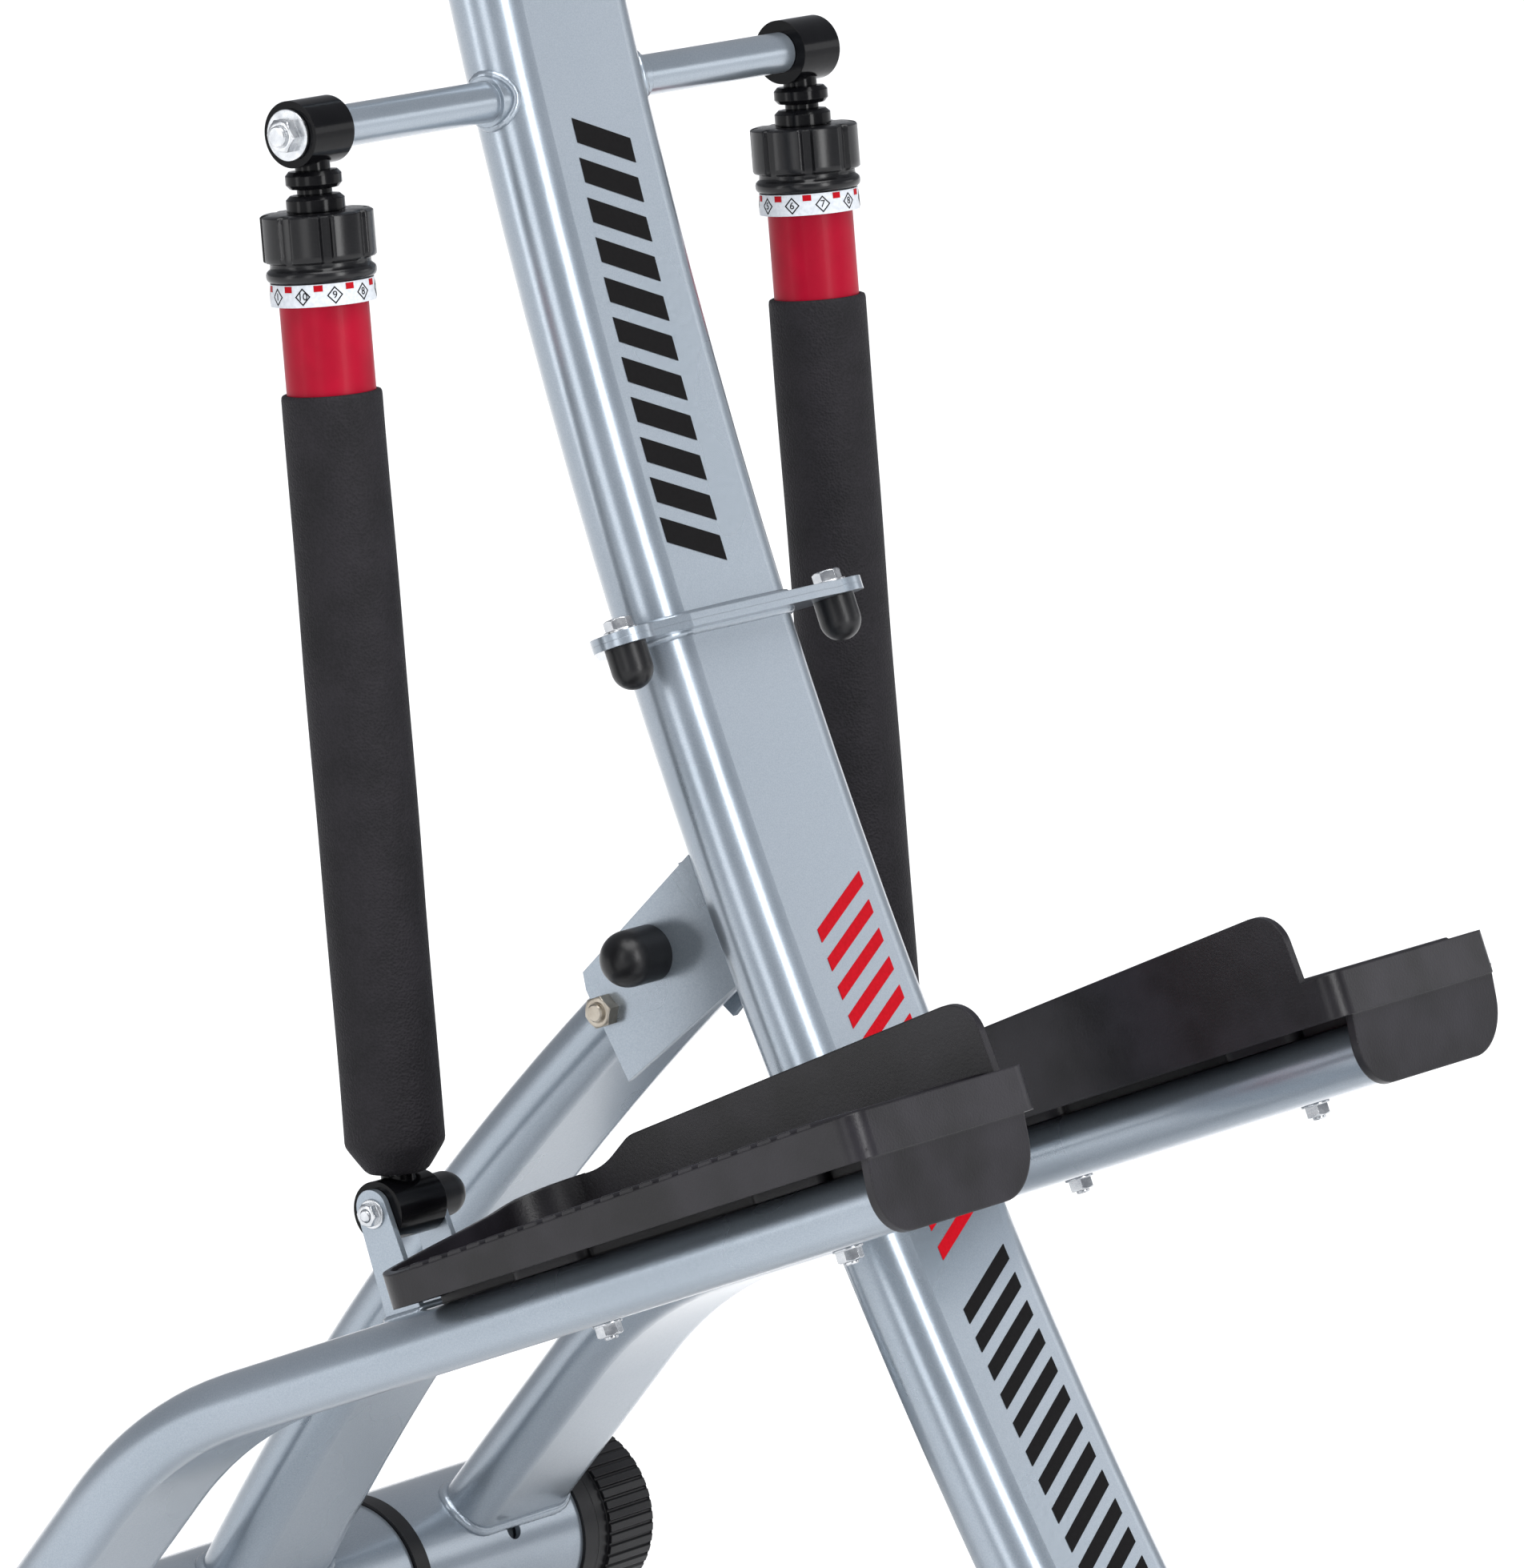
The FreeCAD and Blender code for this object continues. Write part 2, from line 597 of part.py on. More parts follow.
def make_flap():
    """The tongue that hangs from the heel, its two lower corners rounded."""
    top = pedal_heel - 1.0
    flap = uv_slab([(top - 4.0, skirt_low + 4), (top, skirt_low + 4), (top - 1.0, skirt_low), (top - 6.0, flap_low),
                    (top - 10.0, flap_low), (top - 5.0, skirt_low)], flap_inner, flap_outer)
    for edge, sign in ((flap_inner, 1), (flap_outer, -1)):
        centre_y = edge + sign * flap_radius
        block = Part.makeBox(60, flap_radius + 1, flap_radius + 5,
                             Vec(170, min(edge - sign, centre_y), flap_low - 5.0))
        keep = Part.makeCylinder(flap_radius, 60, Vec(170, centre_y, flap_low + flap_radius), Vec(1, 0, 0))
        flap = flap.cut(into_arm_frame(block.cut(keep)))
    return flap


def make_pedal():
    heel = pedal_heel
    outside = plan_prism(0.0, -40, 90)
    rim = outside.cut(plan_prism(skirt_wall, -41, 91))
    tread = uv_slab([(pedal_toe, tread_v(pedal_toe)), (heel, tread_v(heel)),
                     (heel, tread_v(heel) - tread_skin), (pedal_toe, tread_v(pedal_toe) - tread_skin)],
                    pedal_inner, pedal_outer).common(outside)
    skirt = rim.common(uv_slab([(pedal_toe, tread_v(pedal_toe) - 0.5), (heel, tread_v(heel) - 0.5),
                                (heel, skirt_low), (pedal_toe, skirt_low)], pedal_inner - 5, pedal_outer + 5))
    solid = tread.fuse([skirt, make_side_wall(rim), make_toe_board(rim), make_flap()])
    for y in (side_y - under_rib_y, side_y + under_rib_y):
        rib = uv_slab([(pedal_toe + 1, oval_thick / 2), (heel - 9, oval_thick / 2), (heel - 9, tread_v(heel) - 1),
                       (pedal_toe + 1, tread_v(pedal_toe) - 1)], y - under_rib_wall / 2, y + under_rib_wall / 2)
        solid = solid.fuse(rib)
    for u in pedal_bolt_runs:
        boss = into_arm_frame(rounded_box((u - 22, side_y - 28, oval_thick / 2),
                                          (u + 22, side_y + 28, tread_v(u) - 2), 8.0))
        solid = solid.fuse(boss)
    for u in pedal_bolt_runs:
        solid = solid.cut(cylinder(pedal_bolt_radius + 0.1, along_arm(u, -5), along_arm(u, 90)))
        solid = solid.cut(cylinder(7.5, along_arm(u, tread_v(u) - 3.0), along_arm(u, 90)))
    save_pair("pedal", solid.removeSplitter())
    bolts = []
    for u in pedal_bolt_runs:
        top = tread_v(u) - 3.0
        low = -oval_thick / 2
        shank = cylinder(pedal_bolt_radius, along_arm(u, low - 7.4), along_arm(u, top))
        head = cylinder(6.4, along_arm(u, top), along_arm(u, top + 2.4))
        nut = hexagon(10.0, along_arm(u, low), along_arm(u, low - 6.0))
        washer = cylinder(6.6, along_arm(u, low), along_arm(u, low - 1.1))
        bolts.append(shank.fuse([head, nut, washer]).removeSplitter())
    save_pair("pedal_bolts", *bolts)


# Cylinders

def down_axis(s, y=side_y):
    """The point of the left cylinder's axis at distance s below the upper eye."""
    along = (at(lower_eye) - at(upper_eye)).normalize()
    return at(upper_eye, y) + along * s


def barrel(radius, s_from, s_to):
    return cylinder(radius, down_axis(s_from), down_axis(s_to))


def turned(profile):
    """A solid of revolution about the cylinder's axis, from (radius, s) points."""
    centre_line = [(0.0, profile[0][1])] + profile + [(0.0, profile[-1][1])]
    face = Part.Face(Part.makePolygon([Vec(r, 0, -s) for r, s in centre_line + centre_line[:1]]))
    solid = face.revolve(Vec(0, 0, 0), Vec(0, 0, 1), 360)
    tilt = math.degrees(math.atan2(upper_eye[0] - lower_eye[0], upper_eye[1] - lower_eye[1]))
    return placed(solid, at(upper_eye, side_y), tilt)


def lobed_bar(inner, outer, count, s_from, s_to):
    """A knob body: broad raised lobes with a narrow groove between them."""
    edges = []
    step = 2 * math.pi / count
    lobe = 0.72

    def spot(r, angle):
        return Vec(r * math.cos(angle), r * math.sin(angle), -s_to)

    for i in range(count):
        a = i * step
        b = a + lobe * step
        c = a + step
        edges.append(Part.Arc(spot(outer, a), spot(outer, (a + b) / 2), spot(outer, b)).toShape())
        edges.append(Part.makeLine(spot(outer, b), spot(inner, b + 0.03)))
        edges.append(Part.Arc(spot(inner, b + 0.03), spot(inner, (b + c) / 2), spot(inner, c - 0.03)).toShape())
        edges.append(Part.makeLine(spot(inner, c - 0.03), spot(outer, c)))
    solid = Part.Face(Part.Wire(edges)).extrude(Vec(0, 0, s_to - s_from))
    tilt = math.degrees(math.atan2(upper_eye[0] - lower_eye[0], upper_eye[1] - lower_eye[1]))
    return placed(solid, at(upper_eye, side_y), tilt)


def make_cylinder():
    half = eye_length / 2
    eye = cylinder(eye_radius, at(upper_eye, side_y - half), at(upper_eye, side_y + half))
    neck = turned([(7.5, 8.0), (7.5, 16.0), (10.4, 16.2), (12.0, 18.0), (12.0, 21.8), (10.4, 23.6), (7.5, 24.0),
                   (7.5, 26.0), (10.6, 26.4), (12.5, 28.2), (12.5, head_start - 0.3), (9.7, head_start - 0.3),
                   (9.7, 62.9)])
    eye = eye.fuse(neck).cut(across(pin_radius + 0.05, upper_eye, side_y - 20, side_y + 20))
    save_pair("cylinder_eye", eye.removeSplitter())
    dial = lobed_bar(22.2, 24.0, 8, head_start, 54.0)
    dial = dial.fuse(turned([(21.6, 54.0), (21.6, 56.5), (23.4, 57.6), (23.4, 61.0), (22.6, dial_end - 0.3)]))
    dial = dial.cut(barrel(9.75, head_start - 2, dial_end + 2))
    save_pair("dial", dial.removeSplitter())
    ring = turned([(22.0, dial_end), (22.4, scale_end)]).cut(barrel(tube_radius, dial_end - 1, scale_end + 1))
    save_pair("scale_ring", ring)
    tube = turned([(tube_radius, dial_end), (tube_radius, tube_end)])
    tube = tube.cut(barrel(tube_bore, 76.0, tube_end - 12.0)).cut(barrel(gland_bore, tube_end - 13, tube_end + 1))
    tube = tube.cut(barrel(9.7, dial_end - 1, 62.9))
    save_pair("cylinder_body", tube)
    foam = turned([(foam_radius - 1.2, foam_start), (foam_radius, foam_start + 1.2), (foam_radius, foam_end - 12.5),
                   (foam_radius - 1.2, foam_end - 10.5), (gland_bore + 2.0, foam_end)])
    foam = foam.cut(barrel(tube_radius, foam_start - 1, tube_end)).cut(barrel(gland_bore, tube_end - 1, foam_end + 1))
    save_pair("foam_sleeve", foam)
    bottom = (at(lower_eye) - at(upper_eye)).Length
    rod_eye = cylinder(rod_eye_radius, at(lower_eye, side_y - rod_eye_length / 2),
                       at(lower_eye, side_y + rod_eye_length / 2))
    neck = barrel(7.4, foam_end + 1.0, bottom - 6)
    pin_hole = across(pin_radius + 0.05, lower_eye, side_y - 20, side_y + 20)
    rod_foot = bottom - 10.0
    rod = barrel(rod_radius, piston_start, rod_foot).fuse(barrel(piston_radius, piston_start, piston_end))
    save_pair("piston_rod", rod.removeSplitter())
    save_pair("rod_eye", rod_eye.fuse(neck).cut(pin_hole).cut(barrel(rod_radius, foam_end, rod_foot)).removeSplitter())


# Handlebar

def on_bar(x, y, height=0.0):
    """A point of the handlebar's tilted plane, x forward of its middle."""
    tilt = math.radians(bar_tilt)
    return Vec(bar_middle[0] + x * math.cos(tilt) + height * math.sin(tilt), y,
               bar_middle[1] - x * math.sin(tilt) + height * math.cos(tilt))


def bar_path(reach):
    """Half of the handlebar's line: out from the middle, round the corner and back to the grip's end."""
    turn = bar_corner
    low = math.sqrt(0.5)
    start = on_bar(0, 0)
    bend_in = on_bar(0, bar_half_width - turn)
    bend_mid = on_bar(turn * (low - 1), bar_half_width - turn * (1 - low))
    bend_out = on_bar(-turn, bar_half_width)
    return start, bend_in, bend_mid, bend_out, on_bar(-reach, bar_half_width)


def make_handlebar():
    solids = []
    for radius in (bar_radius, bar_radius - bar_wall):
        start, bend_in, bend_mid, bend_out, end = bar_path(bar_reach)
        edges = [Part.makeLine(start, bend_in), Part.Arc(bend_in, bend_mid, bend_out).toShape(),
                 Part.makeLine(bend_out, end)]
        profile = Part.Wire([Part.makeCircle(radius, start, y_axis)])
        half = Part.Wire(edges).makePipeShell([profile], True, False)
        solids.append(half.fuse(mirrored(half)).removeSplitter())
    save("handlebar", solids[0].cut(solids[1]))
    end = on_bar(-bar_reach, bar_half_width)
    inner = on_bar(-bar_reach + grip_length, bar_half_width)
    backward = (end - inner).normalize()
    grip = cylinder(grip_radius, inner, end).cut(cylinder(bar_radius, inner - backward, end + backward))
    save("handlebar_grips", *both(grip))
    plug = cylinder(bar_radius - bar_wall, end - backward * 14, end)
    disc = cylinder(grip_radius - 0.6, end, end + backward * 4.0)
    disc = disc.makeFillet(1.6, [e for e in disc.Edges if e.BoundBox.DiagonalLength > 20
                                 and (e.CenterOfMass - end).dot(backward) > 3])
    save("grip_end_caps", *both(plug.fuse(disc).removeSplitter()))


def make_handlebar_clamp():
    """A plate on the mast's top, a split clamp round the bar's middle and its four bolts."""
    top = arc_point(mast_centre, mast_bend, mast_top_z)
    forward = arc_normal(mast_centre, mast_bend, mast_top_z)
    up = Vec(-forward.z, 0, forward.x)
    plate = oval_bar(Part.Wire([Part.makeLine(top, top + up * 4.0)]), top, forward,
                     mast_width + 4, mast_thick + 4)
    save("mast_top_plate", plate)
    half_x, half_y = clamp_half, 30.0
    split = 0.6
    low_depth = (on_bar(0, 0) - top - up * 4.0).Length - 0.5
    lower = Part.makeBox(2 * half_x, 2 * half_y, low_depth - split, Vec(-half_x, -half_y, -low_depth))
    upper = Part.makeBox(2 * half_x, 2 * half_y, bar_radius + 6 - split, Vec(-half_x, -half_y, split))
    upper = upper.makeFillet(8.0, [e for e in upper.Edges if abs(e.BoundBox.ZMin - e.BoundBox.ZMax) < 0.1
                                   and e.BoundBox.ZMin > 10 and e.BoundBox.YLength > 20])
    bore = Part.makeCylinder(bar_radius, 80, Vec(0, -40, 0), y_axis)
    bolts = []
    lower = lower.cut(bore)
    upper = upper.cut(bore)
    for x in (-19.5, 19.5):
        for y in (-19.0, 19.0):
            hole = Part.makeCylinder(2.55, 60, Vec(x, y, -14.0))
            lower = lower.cut(hole)
            upper = upper.cut(hole)
            shank = Part.makeCylinder(2.5, 14.0 + bar_radius + 6, Vec(x, y, -13.5))
            head = Part.makeCylinder(4.2, 4.4, Vec(x, y, bar_radius + 6))
            socket = hexagon(4.0, Vec(x, y, bar_radius + 8.4), Vec(x, y, bar_radius + 11))
            bolts.append(placed(shank.fuse(head).cut(socket).removeSplitter(), on_bar(0, 0), bar_tilt))
    blocks = [placed(block, on_bar(0, 0), bar_tilt) for block in (lower, upper)]
    above = placed(Part.makeBox(200, 200, 60, Vec(-100, -100, 0)),
                   top + up * 4.02, math.degrees(math.atan2(up.x, up.z)))
    blocks[0] = blocks[0].common(above)
    save("handlebar_clamp", *blocks)
    save("clamp_bolts", *bolts)


# Console

def console_place(shape):
    """Local X runs up the console's face, local Y to the left and local Z out towards the user."""
    return placed(shape, at(console_middle), console_tilt)


def console_spot(up_face, outward):
    """A point of the console's own frame, in its middle plane."""
    return FreeCAD.Rotation(y_axis, console_tilt).multVec(Vec(up_face, 0, outward)) + at(console_middle)


def make_console():
    high, wide, deep = console_half_height, console_half_width, console_depth
    shell = rounded_box((-high, -wide, 0.2), (high, wide, deep), 16.0)
    top_rim = [e for e in shell.Edges if e.BoundBox.ZMin > deep - 0.01]
    shell = shell.makeFillet(3.0, top_rim)
    shell = shell.cut(rounded_box((-high + console_wall, -wide + console_wall, -1.0),
                                  (high - console_wall, wide - console_wall, deep - console_wall), 13.5))
    window_low, window_high = (-10.0, -46.0), (30.0, 46.0)
    shell = shell.cut(rounded_box((*window_low, 0.0), (*window_high, deep + 1), 5.0))
    shell = shell.cut(Part.makeCylinder(button_radius + 0.25, deep + 5, Vec(button_x, 0, 0)))
    save("console_housing", console_place(shell))
    lens = rounded_box((window_low[0], window_low[1], deep - console_wall),
                       (window_high[0], window_high[1], deep - 0.4), 5.0)
    save("console_lens", console_place(lens))
    screen = Part.makeBox(36.0, 84.0, 4.0, Vec(-8.0, -42.0, deep - console_wall - 5.0))
    save("console_screen", console_place(screen))
    back = rounded_box((-high, -wide, -console_back_depth), (high, wide, 0.0), 16.0)
    low_rim = [e for e in back.Edges if e.BoundBox.ZMax < -console_back_depth + 0.01]
    back = back.makeFillet(5.0, low_rim)
    back = back.cut(rounded_box((-high + console_wall, -wide + console_wall, -console_back_depth + console_wall),
                                (high - console_wall, wide - console_wall, 1.0), 13.5))
    save("console_back", console_place(back))
    stem = Part.makeCylinder(button_radius, 7.0, Vec(button_x, 0, deep - 4.0))
    stem = stem.makeFillet(1.2, [e for e in stem.Edges if e.BoundBox.ZMin > deep + 2])
    flange = Part.makeCylinder(button_radius + 2.0, 1.5, Vec(button_x, 0, deep - 5.5))
    save("console_button", console_place(stem.fuse(flange).removeSplitter()))
    make_console_bracket()


def meeting(first, first_way, second, second_way):
    """Where two lines of the XZ plane cross."""
    span = second - first
    share = (span.x * second_way.z - span.z * second_way.x) / (first_way.x * second_way.z - first_way.z * second_way.x)
    return first + first_way * share


def make_console_bracket():
    """A strip from the front of the clamp, bent to lie along the console's back."""
    thick = 3.0
    gap = 0.02
    up_clamp = on_bar(0, 0, 1) - on_bar(0, 0)
    up_face = console_spot(1, 0) - console_spot(0, 0)
    inner, outer = [meeting(on_bar(clamp_half + gap + t, 0), up_clamp,
                            console_spot(0, -console_back_depth - gap - t), up_face) for t in (0, thick)]
    top_inner = console_spot(30.0, -console_back_depth - gap)
    top_outer = console_spot(30.0, -console_back_depth - gap - thick)
    outline = [on_bar(clamp_half + gap, 0, -8.0), inner, top_inner, top_outer, outer,
               on_bar(clamp_half + gap + thick, 0, -8.0)]
    save("console_bracket", slab([(p.x, p.z) for p in outline], -22, 22))


caps = make_mast()
caps.append(make_leg())
save("bolt_caps", *caps)
make_hanger_bar()
make_base()
make_arm()
make_clevis()
make_pedal()
make_cylinder()
make_handlebar()
make_handlebar_clamp()
make_console()
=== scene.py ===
import json
import math
import bmesh
import bpy
import numpy as np
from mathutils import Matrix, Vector


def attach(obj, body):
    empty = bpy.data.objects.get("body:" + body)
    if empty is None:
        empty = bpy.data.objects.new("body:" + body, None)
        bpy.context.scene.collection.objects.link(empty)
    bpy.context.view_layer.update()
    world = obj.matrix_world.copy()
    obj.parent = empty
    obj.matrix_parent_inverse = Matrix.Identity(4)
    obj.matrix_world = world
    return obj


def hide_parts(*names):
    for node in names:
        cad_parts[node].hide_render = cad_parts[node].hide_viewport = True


# A hydraulic stepper. Metres, +X forward, +Y the user's left, +Z up, floor at z = 0.
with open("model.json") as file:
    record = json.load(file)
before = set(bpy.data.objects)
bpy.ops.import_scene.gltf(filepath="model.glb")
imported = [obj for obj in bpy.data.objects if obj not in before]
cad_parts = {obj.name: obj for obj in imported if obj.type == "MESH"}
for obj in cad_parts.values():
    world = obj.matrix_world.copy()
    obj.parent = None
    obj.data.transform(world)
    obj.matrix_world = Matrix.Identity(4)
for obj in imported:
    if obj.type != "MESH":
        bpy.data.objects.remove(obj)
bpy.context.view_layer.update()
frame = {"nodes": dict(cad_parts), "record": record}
nodes = frame["nodes"]
mm = 0.001
print("frame loaded:", len(nodes), "CAD nodes")

# Places shared by several pieces, in millimetres, as in the CAD source
layout = {
    "sideY": 166.0,              # middle of each arm, pedal and cylinder
    "upperEye": (78.0, 763.0),
    "lowerEye": (32.0, 306.0),
    "axle": (274.0, 42.0),
    "mastCentre": (-2313.0, 1489.0), "mastBend": 2500.0, "mastWidth": 97.0, "mastThick": 35.0,
    "flangeZ": 537.5, "flangeEarY": 72.0, "flangeEarBack": 14.5, "flangePlate": 3.0,
    "legCentre": (-987.0, -657.0), "legBend": 1440.0, "ovalWidth": 78.0, "ovalThick": 28.0,
    "armSlope": 22.2, "armAnchor": (-75.7, 285.7), "armCorner": (151.2, 193.1),
    "treadPlane": (-67.0, 31.0, 0.021),      # toe along the arm, height there, rise per millimetre
    "pedalBolts": (0.0, 138.0),
    "barMiddle": (176.0, 1230.0), "barTilt": 8.0, "barReach": 232.0, "barHalfWidth": 212.0,
}


# Helpers: meshes

def linearColour(hexText):
    # sRGB hex to linear RGBA: below 0.04045 a straight line, above it a power of 2.4
    srgb = np.array([int(hexText[i:i + 2], 16) for i in (1, 3, 5)]) / 255
    linear = np.where(srgb <= 0.04045, srgb / 12.92, ((srgb + 0.055) / 1.055) ** 2.4)
    return (*linear.tolist(), 1.0)


def unit(vector):
    vector = np.array(vector, float)
    return vector / np.linalg.norm(vector)


def gridMesh(name, grids, closeU=True, closeV=False, sharp=35.0):
    # One object from a list of (u, v, 3) grids in millimetres: quads join neighbours, poles are merged
    points, faces, start = [], [], 0
    for grid in grids:
        countU, countV = grid.shape[:2]
        index = np.arange(countU * countV).reshape(countU, countV) + start
        if closeU:
            index = np.concatenate([index, index[:1]], 0)
        if closeV:
            index = np.concatenate([index, index[:, :1]], 1)
        quads = np.stack([index[:-1, :-1], index[1:, :-1], index[1:, 1:], index[:-1, 1:]], -1)
        points.append(grid.reshape(-1, 3) * mm)
        faces.append(quads.reshape(-1, 4))
        start += countU * countV
    mesh = bpy.data.meshes.new(name)
    mesh.from_pydata(np.concatenate(points).tolist(), [], np.concatenate(faces).tolist())
    work = bmesh.new()
    work.from_mesh(mesh)
    bmesh.ops.remove_doubles(work, verts=work.verts, dist=2e-7)
    bmesh.ops.recalc_face_normals(work, faces=work.faces)
    work.to_mesh(mesh)
    work.free()
    mesh.shade_smooth()
    mesh.set_sharp_from_angle(angle=math.radians(sharp))
    piece = bpy.data.objects.new(name, mesh)
    bpy.context.scene.collection.objects.link(piece)
    return piece


def frameAlong(axis, hint=(0.0, 1.0, 0.0)):
    # Three unit vectors: the last along the axis, the first near the hint, or near Z if the hint is parallel
    along = unit(axis)
    if abs(np.dot(unit(hint), along)) > 0.99:
        hint = (0.0, 0.0, 1.0)
    first = unit(np.array(hint, float) - np.dot(hint, along) * along)
    return first, np.cross(along, first), along


def fullTurn(count):
    return np.linspace(0, 2 * math.pi, count, endpoint=False)[:, None]


def carriedRound(reach, distance, turn, origin, axis, hint=(0.0, 1.0, 0.0)):
    # origin + along * distance + reach * (cos, sin) of the angle; reach is a grid over angle and distance
    first, second, along = frameAlong(axis, hint)
    ring = np.cos(turn)[..., None] * first + np.sin(turn)[..., None] * second
    return np.array(origin, float) + reach[..., None] * ring + distance[None, :, None] * along


def revolve(profile, origin, axis, count=64, ripple=None):
    # (radius, distance) points carried round an axis, the radius raised by the ripple over angle and distance
    radius, distance = np.array(profile, float).T
    turn = fullTurn(count)
    reach = radius[None, :] + (ripple(turn, distance[None, :]) if ripple else np.zeros((count, 1)))
    return carriedRound(reach, distance, turn, origin, axis)


def flatOval(width, thick, count=120):
    # Points evenly round a flat oval: two straight runs and two half circles, by arc length
    r = thick / 2
    run = width - thick
    total = 2 * run + 2 * math.pi * r
    s = np.linspace(0, total, count, endpoint=False)
    a = np.where(s < run, run / 2 - s, 0.0)
    b = np.where(s < run, r, 0.0)
    turn = (s - run) / r
    part = (s >= run) & (s < run + math.pi * r)
    a, b = np.where(part, -run / 2 - r * np.sin(turn), a), np.where(part, r * np.cos(turn), b)
    part = (s >= run + math.pi * r) & (s < 2 * run + math.pi * r)
    a, b = np.where(part, -run / 2 + (s - run - math.pi * r), a), np.where(part, -r, b)
    turn = (s - 2 * run - math.pi * r) / r
    part = s >= 2 * run + math.pi * r
    return np.where(part, run / 2 + r * np.sin(turn), a), np.where(part, -r * np.cos(turn), b)


def bead(path, radius, ripplePitch=3.2):
    # A weld bead: a small circle carried along a closed path, its radius swelling by a sine for each ripple
    path = np.array(path, float)
    ahead = np.roll(path, -1, 0) - np.roll(path, 1, 0)
    ahead /= np.linalg.norm(ahead, axis=1)[:, None]
    step = np.linalg.norm(np.diff(path, axis=0), axis=1)
    run = np.concatenate([[0.0], np.cumsum(step)])
    swell = 1 + 0.13 * np.abs(np.sin(math.pi * run / ripplePitch)) + 0.05 * np.sin(run / 11.0 + 1)
    side = np.cross(ahead, np.roll(ahead, 7, 0) + np.array([0.31, 0.57, 0.76]))
    side /= np.linalg.norm(side, axis=1)[:, None]
    other = np.cross(ahead, side)
    turn = np.linspace(0, 2 * math.pi, 10, endpoint=False)
    ring = np.cos(turn)[None, :, None] * side[:, None] + np.sin(turn)[None, :, None] * other[:, None]
    return path[:, None] + radius * swell[:, None, None] * ring


def mirroredGrid(grid):
    return grid * np.array([1.0, -1.0, 1.0])


def onSide(side, grids):
    # Grids drawn for the left side, mirrored across the middle for the right
    return grids if side == "left" else [mirroredGrid(grid) for grid in grids]


def dressed(piece, material, body, replaced=()):
    # Gives a new piece its material and the body it rides on, and hides the CAD nodes it stands for
    piece.data.materials.clear()
    piece.data.materials.append(material)
    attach(piece, body)
    if replaced:
        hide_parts(*replaced)
    return piece


# Helpers: materials

def addNode(tree, kind, settings=None, links=None):
    # Adds one node: settings are attributes or sockets, links are socket: output
    node = tree.nodes.new(kind)
    for key, value in (settings or {}).items():
        if isinstance(key, str) and hasattr(node, key):
            setattr(node, key, value)
        else:
            node.inputs[key].default_value = value
    for key, source in (links or {}).items():
        tree.links.new(source, node.inputs[key])
    return node


def newMaterial(name, colour, metallic, roughness, **sockets):
    material = bpy.data.materials.new(name)
    material.use_nodes = True
    tree = material.node_tree
    shader = tree.nodes["Principled BSDF"]
    shader.inputs["Base Color"].default_value = linearColour(colour)
    shader.inputs["Metallic"].default_value = metallic
    shader.inputs["Roughness"].default_value = roughness
    for key, value in sockets.items():
        shader.inputs[key.replace("_", " ")].default_value = value
    return material, tree, shader


def noise(tree, place, size, detail=2.0):
    # Noise whose features are this many metres across
    return addNode(tree, "ShaderNodeTexNoise", {"Scale": 1 / size, "Detail": detail, "Roughness": 0.5},
                   {"Vector": place})


def blendColour(tree, factor, low, high, fromPoint=0.35, toPoint=0.65):
    ramp = addNode(tree, "ShaderNodeValToRGB", {}, {"Fac": factor})
    for stop, position, colour in zip(ramp.color_ramp.elements, (fromPoint, toPoint), (low, high)):
        stop.position, stop.color = position, linearColour(colour)
    return ramp.outputs["Color"]


def finishNormal(tree, shader, heights, edge=0.0):
    # Bumps one over the other, (height output, distance) each, on edges softened by this radius
    normal = None
    if edge:
        normal = addNode(tree, "ShaderNodeBevel", {"samples": 4, "Radius": edge}).outputs["Normal"]
    for height, distance in heights:
        links = {"Height": height}
        if normal:
            links["Normal"] = normal
        bump = addNode(tree, "ShaderNodeBump", {"Distance": distance, "Strength": 1.0}, links)
        normal = bump.outputs["Normal"]
    tree.links.new(normal, shader.inputs["Normal"])


def objectPlace(tree):
    return addNode(tree, "ShaderNodeTexCoord").outputs["Object"]


def powderCoat():
    # Silver powder coat, baked: metal flake gives a cool grey sparkle, the clear film a long soft highlight
    material, tree, shader = newMaterial("silverPowderCoat", "#8F98A2", 0.7, 0.33, Coat_Weight=0.8,
                                         Coat_Roughness=0.16)
    place = objectPlace(tree)
    flake = noise(tree, place, 0.0006, 1.0)   # real flake is 0.05 mm; drawn coarser so that it shows
    cloud = noise(tree, place, 0.09, 2.0)
    both = addNode(tree, "ShaderNodeMath", {"operation": "MULTIPLY_ADD", 1: 0.55, 2: 0.0},
                   {0: flake.outputs["Fac"]})
    summed = addNode(tree, "ShaderNodeMath", {"operation": "MULTIPLY_ADD", 1: 0.45},
                     {0: cloud.outputs["Fac"], 2: both.outputs[0]})
    tree.links.new(blendColour(tree, summed.outputs[0], "#88939D", "#97A0AA"), shader.inputs["Base Color"])
    rough = addNode(tree, "ShaderNodeMapRange", {"From Min": 0.3, "From Max": 0.7, "To Min": 0.25,
                                                 "To Max": 0.34}, {"Value": cloud.outputs["Fac"]})
    tree.links.new(rough.outputs["Result"], shader.inputs["Roughness"])
    peel = noise(tree, place, 0.0035, 1.0)               # orange peel, about 3 mm
    finishNormal(tree, shader, [(peel.outputs["Fac"], 0.00004)], 0.0005)
    return material


